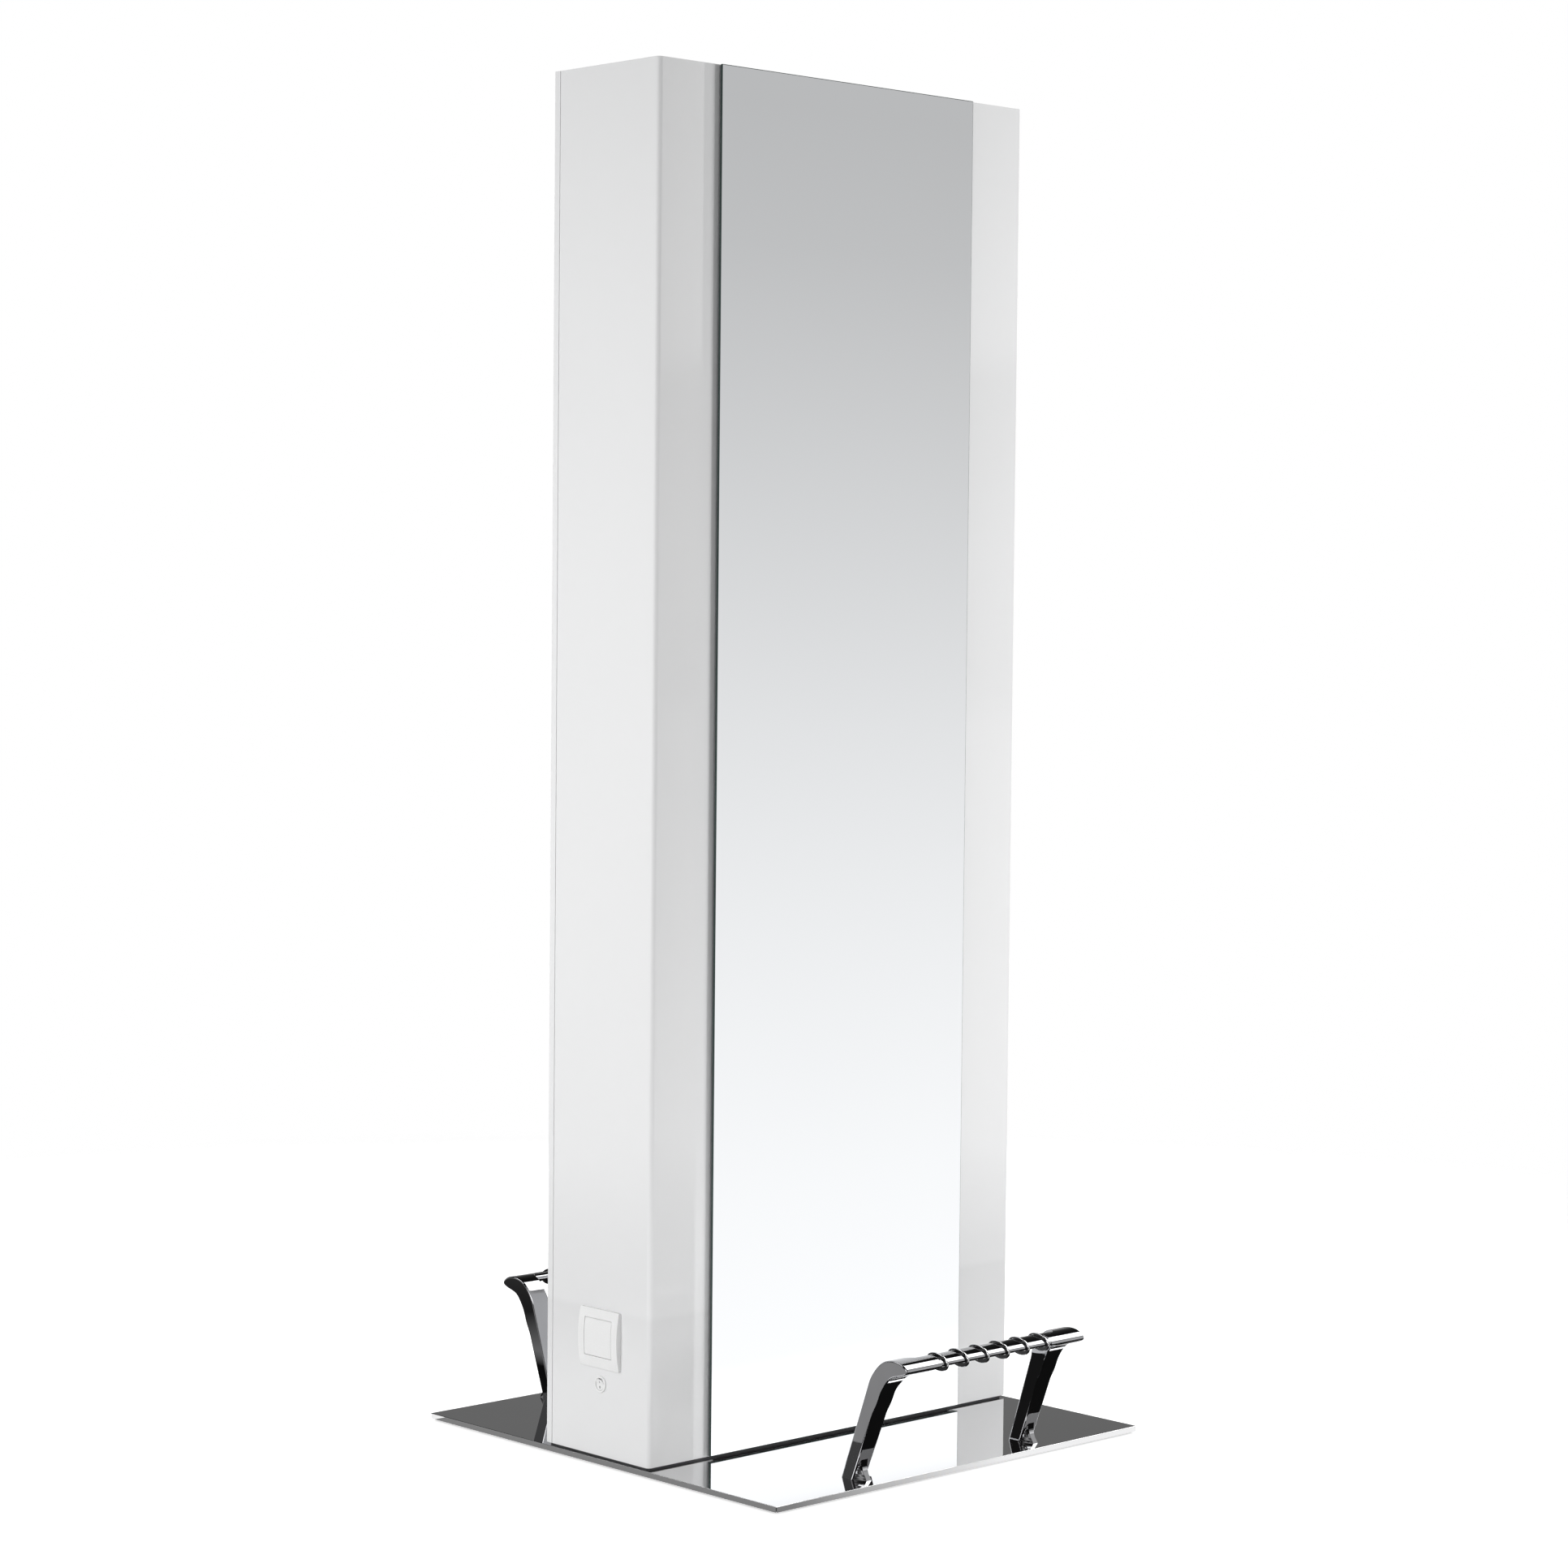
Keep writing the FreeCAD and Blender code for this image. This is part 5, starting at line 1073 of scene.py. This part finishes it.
# %% [markdown]
# The floor takes the object's shadow. Rays from the camera get a little extra light from it, so that it
# runs into the white around it. Polished metal sees it as a photographer would set it: a grey floor
# with a black flag in front of each footrest and pools of light at two of the corners.

# %% Floor
FLOOR_RADIUS = 3.2
FLOOR_GREY = (0.80, 0.80, 0.80)
FLOOR_LIFT = 0.60
FADE_SHARES = (0.35, 0.98)             # of the radius, where the floor begins and ends to fade out
FLOOR_SEEN, FLOOR_FAR = 0.58, 0.03     # what metal sees of it, close by and further off along Y
SEEN_EDGE = (0.45, 1.0)
POOL_LEVEL, POOL_EDGE = 0.9, (0.20, 0.45)
FLAG_SIDE = (0.40, 0.48)               # a soft edge along X, from black to none
FLAG_NEAR, FLAG_FAR = (0.382, 0.384), (0.75, 0.80)       # soft edges along Y
FLAG_BLACK = 0.02
SHORT_RAY, SHORT_LEVEL = 0.07, 0.28    # an edge of the plate looks past the flag at the floor beside it
BESIDE_LEVEL, BESIDE_EDGE = 0.9, (-0.05, 0.13)


def emission(tree, strength, color=(1, 1, 1, 1)):
    return add_node(tree, "ShaderNodeEmission", {"Color": color, "Strength": strength}).outputs["Emission"]


def floor_level(tree, ray_length):
    """What polished metal sees of the floor at each place."""
    axes = add_node(tree, "ShaderNodeSeparateXYZ", {"Vector": place_on(tree)})
    x, y = axes.outputs["X"], axes.outputs["Y"]
    off_x, off_y = calculate(tree, "ABSOLUTE", x), calculate(tree, "ABSOLUTE", y)
    corner = times(tree, x, y)         # high at two of the corners, low at the others
    level = spread(tree, off_y, FLOOR_SEEN, FLOOR_FAR, *SEEN_EDGE)
    level = calculate(tree, "ADD", level, spread(tree, corner, 0, POOL_LEVEL, *POOL_EDGE))
    flag = times(tree, spread(tree, off_x, 1, 0, *FLAG_SIDE), spread(tree, off_y, 0, 1, *FLAG_NEAR))
    flag = times(tree, flag, spread(tree, off_y, 1, 0, *FLAG_FAR))
    level = times(tree, level, spread(tree, flag, 1, FLAG_BLACK, 0, 1))
    far = calculate(tree, "GREATER_THAN", ray_length, SHORT_RAY)
    past_edge = calculate(tree, "GREATER_THAN", off_y, sum(FLAG_NEAR) / 2)
    beside = times(tree, spread(tree, corner, BESIDE_LEVEL, 0, *BESIDE_EDGE), past_edge)
    close = times(tree, calculate(tree, "SUBTRACT", 1, far), calculate(tree, "ADD", beside, SHORT_LEVEL))
    return calculate(tree, "ADD", close, times(tree, level, far))


def show(tree, shader):
    tree.links.new(shader, tree.nodes["Material Output"].inputs["Surface"])


def floor_material():
    material = start_material("pale_floor", FLOOR_GREY, 0.9)
    tree = material.node_tree
    shader = tree.nodes["Principled BSDF"]
    shader.inputs["Specular IOR Level"].default_value = 0.0
    rays = add_node(tree, "ShaderNodeLightPath")
    glow = emission(tree, times(tree, rays.outputs["Is Camera Ray"], FLOOR_LIFT))
    lifted = add_node(tree, "ShaderNodeAddShader", {0: shader.outputs["BSDF"], 1: glow}).outputs["Shader"]
    mirrored = emission(tree, floor_level(tree, rays.outputs["Ray Length"]))
    both = mix_shaders(tree, rays.outputs["Is Glossy Ray"], lifted, mirrored)
    clear = add_node(tree, "ShaderNodeBsdfTransparent").outputs["BSDF"]
    away = add_node(tree, "ShaderNodeVectorMath", {0: place_on(tree)}, operation="LENGTH").outputs["Value"]
    fade = spread(tree, away, 0, 1, *[FLOOR_RADIUS * share for share in FADE_SHARES])
    show(tree, mix_shaders(tree, fade, both, clear))
    return material


floor = drum("floor", FLOOR_RADIUS, (0, 0, -0.01), (0, 0, 0), 96)
floor.data.materials.append(floor_material())
print("floor radius %.1f m" % FLOOR_RADIUS)

# %% [markdown]
# A mirror shows whatever stands in front of it, so a photographer hangs a card there: grey at the top
# and white at the floor. Each card here hangs close to its mirror. Only reflections see it, and only
# from the mirror's side, because its back is clear.

# %% Reflection cards
CARD_GAP = 0.006
CARD_OVERLAP = 0.014                   # past the edges of the mirror
CARD_FOOT, CARD_HEAD = 0.001, 0.012    # above the plate, and past the top of the mirror
CARD_GAIN = 1.0 / 0.93                 # makes up for what the silvering takes
CARD_TINT = (0.99, 0.998, 1.008)
BLACK_LEVEL = 0.02
# height in metres, tone in the mirror
CARD_TONES = ((0.0, 1.31), (0.09, 1.25), (0.14, 1.0), (0.38, 0.955), (0.60, 0.90), (0.83, 0.84),
              (1.06, 0.77), (1.28, 0.69), (1.52, 0.605), (1.76, 0.525), (1.96, 0.49))


def one_sided(material, light):
    """Makes the back of a card clear."""
    tree = material.node_tree
    clear = add_node(tree, "ShaderNodeBsdfTransparent").outputs["BSDF"]
    behind = add_node(tree, "ShaderNodeNewGeometry").outputs["Backfacing"]
    show(tree, mix_shaders(tree, behind, light, clear))
    return material


def toned_card():
    material = start_material("toned_card", (1, 1, 1), 1.0)
    tree = material.node_tree
    top = CARD_TONES[-1][0]
    tones = [(height / top, [tone * tint for tint in CARD_TINT]) for height, tone in CARD_TONES]
    rise = spread(tree, along(tree, place_on(tree), (0, 0, 1)), 0, 1, 0, top)
    return one_sided(material, emission(tree, CARD_GAIN, tone_ramp(tree, rise, tones)))


def black_card():
    material = start_material("black_card", (0, 0, 0), 1.0)
    return one_sided(material, emission(material.node_tree, BLACK_LEVEL))


def hang_card(name, points, towards, material):
    """A card through its corners, whose front looks along a direction; only reflections see it."""
    mesh = mesh_from(name, points, [[0, 1, 2, 3]])
    if mesh.polygons[0].normal.dot(Vector(towards)) < 0:
        mesh.flip_normals()
    card = new_piece(name, mesh, material)
    for way in ("camera", "diffuse", "transmission", "shadow"):
        setattr(card, "visible_" + way, False)


def mirror_card(name, node, out):
    """A card in front of a mirror; out is the way the mirror faces along Y."""
    low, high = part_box(node)
    y = (high.y if out > 0 else low.y) + out * CARD_GAP
    left, right = low.x - CARD_OVERLAP, high.x + CARD_OVERLAP
    foot, top = plate_top + CARD_FOOT, high.z + CARD_HEAD
    hang_card(name, [(left, y, foot), (right, y, foot), (right, y, top), (left, y, top)], (0, -out, 0), toned)


toned, black = toned_card(), black_card()
mirror_card("card_front", "mirror_front", -1)
mirror_card("card_rear", "mirror_rear", 1)

# %% [markdown]
# The inner faces of the two legs of a footrest look at each other over the bright plate. A narrow black
# flag stands just inside each of them, so that they turn dark as polished casts do; it leans as the leg
# does and hides behind it.

# %% Black flags beside the legs
LEG_FLAG_X = 0.1495
# distance from the middle of the station and height of the corners of a flag
LEG_FLAG = ((0.312, 0.012), (0.341, 0.012), (0.394, 0.150), (0.358, 0.150))
for sx in (-1, 1):
    for sy in (-1, 1):
        corners = [(sx * LEG_FLAG_X, sy * y, z) for y, z in LEG_FLAG]
        hang_card("leg_flag", corners, (sx, 0, 0), black)

# %% [markdown]
# Three large area lamps light the covers: one in front of the right end, one beyond the left end and one
# behind. Two low ones light the foot of the tower on both sides. Reflections don't show any of them.

# %% Lamps
def area_lamp(name, place, aim, width, height, power):
    data = bpy.data.lights.new(name, "AREA")
    data.shape, data.size, data.size_y, data.energy = "RECTANGLE", width, height, power
    lamp = bpy.data.objects.new(name, data)
    lamp.location = place
    lamp.rotation_euler = (Vector(aim) - Vector(place)).to_track_quat("-Z", "Y").to_euler()
    lamp.visible_glossy = False
    bpy.context.scene.collection.objects.link(lamp)


area_lamp("right_key", (1.5, -1.6, 1.15), (0.2, -0.1, 1.0), 0.9, 1.8, 26)
area_lamp("low_front", (-0.15, -0.8, 0.15), (-0.1, -0.1, 0.1), 0.8, 0.2, 1.2)
area_lamp("left_fill", (-2.55, 0.2, 1.15), (0, 0, 1.0), 1.4, 2.0, 35)
area_lamp("rear_fill", (1.6, 2.2, 1.4), (0, 0, 0.9), 1.6, 2.2, 45)
area_lamp("low_rear", (0.15, 0.8, 0.15), (0.1, 0.1, 0.1), 0.8, 0.2, 1.2)
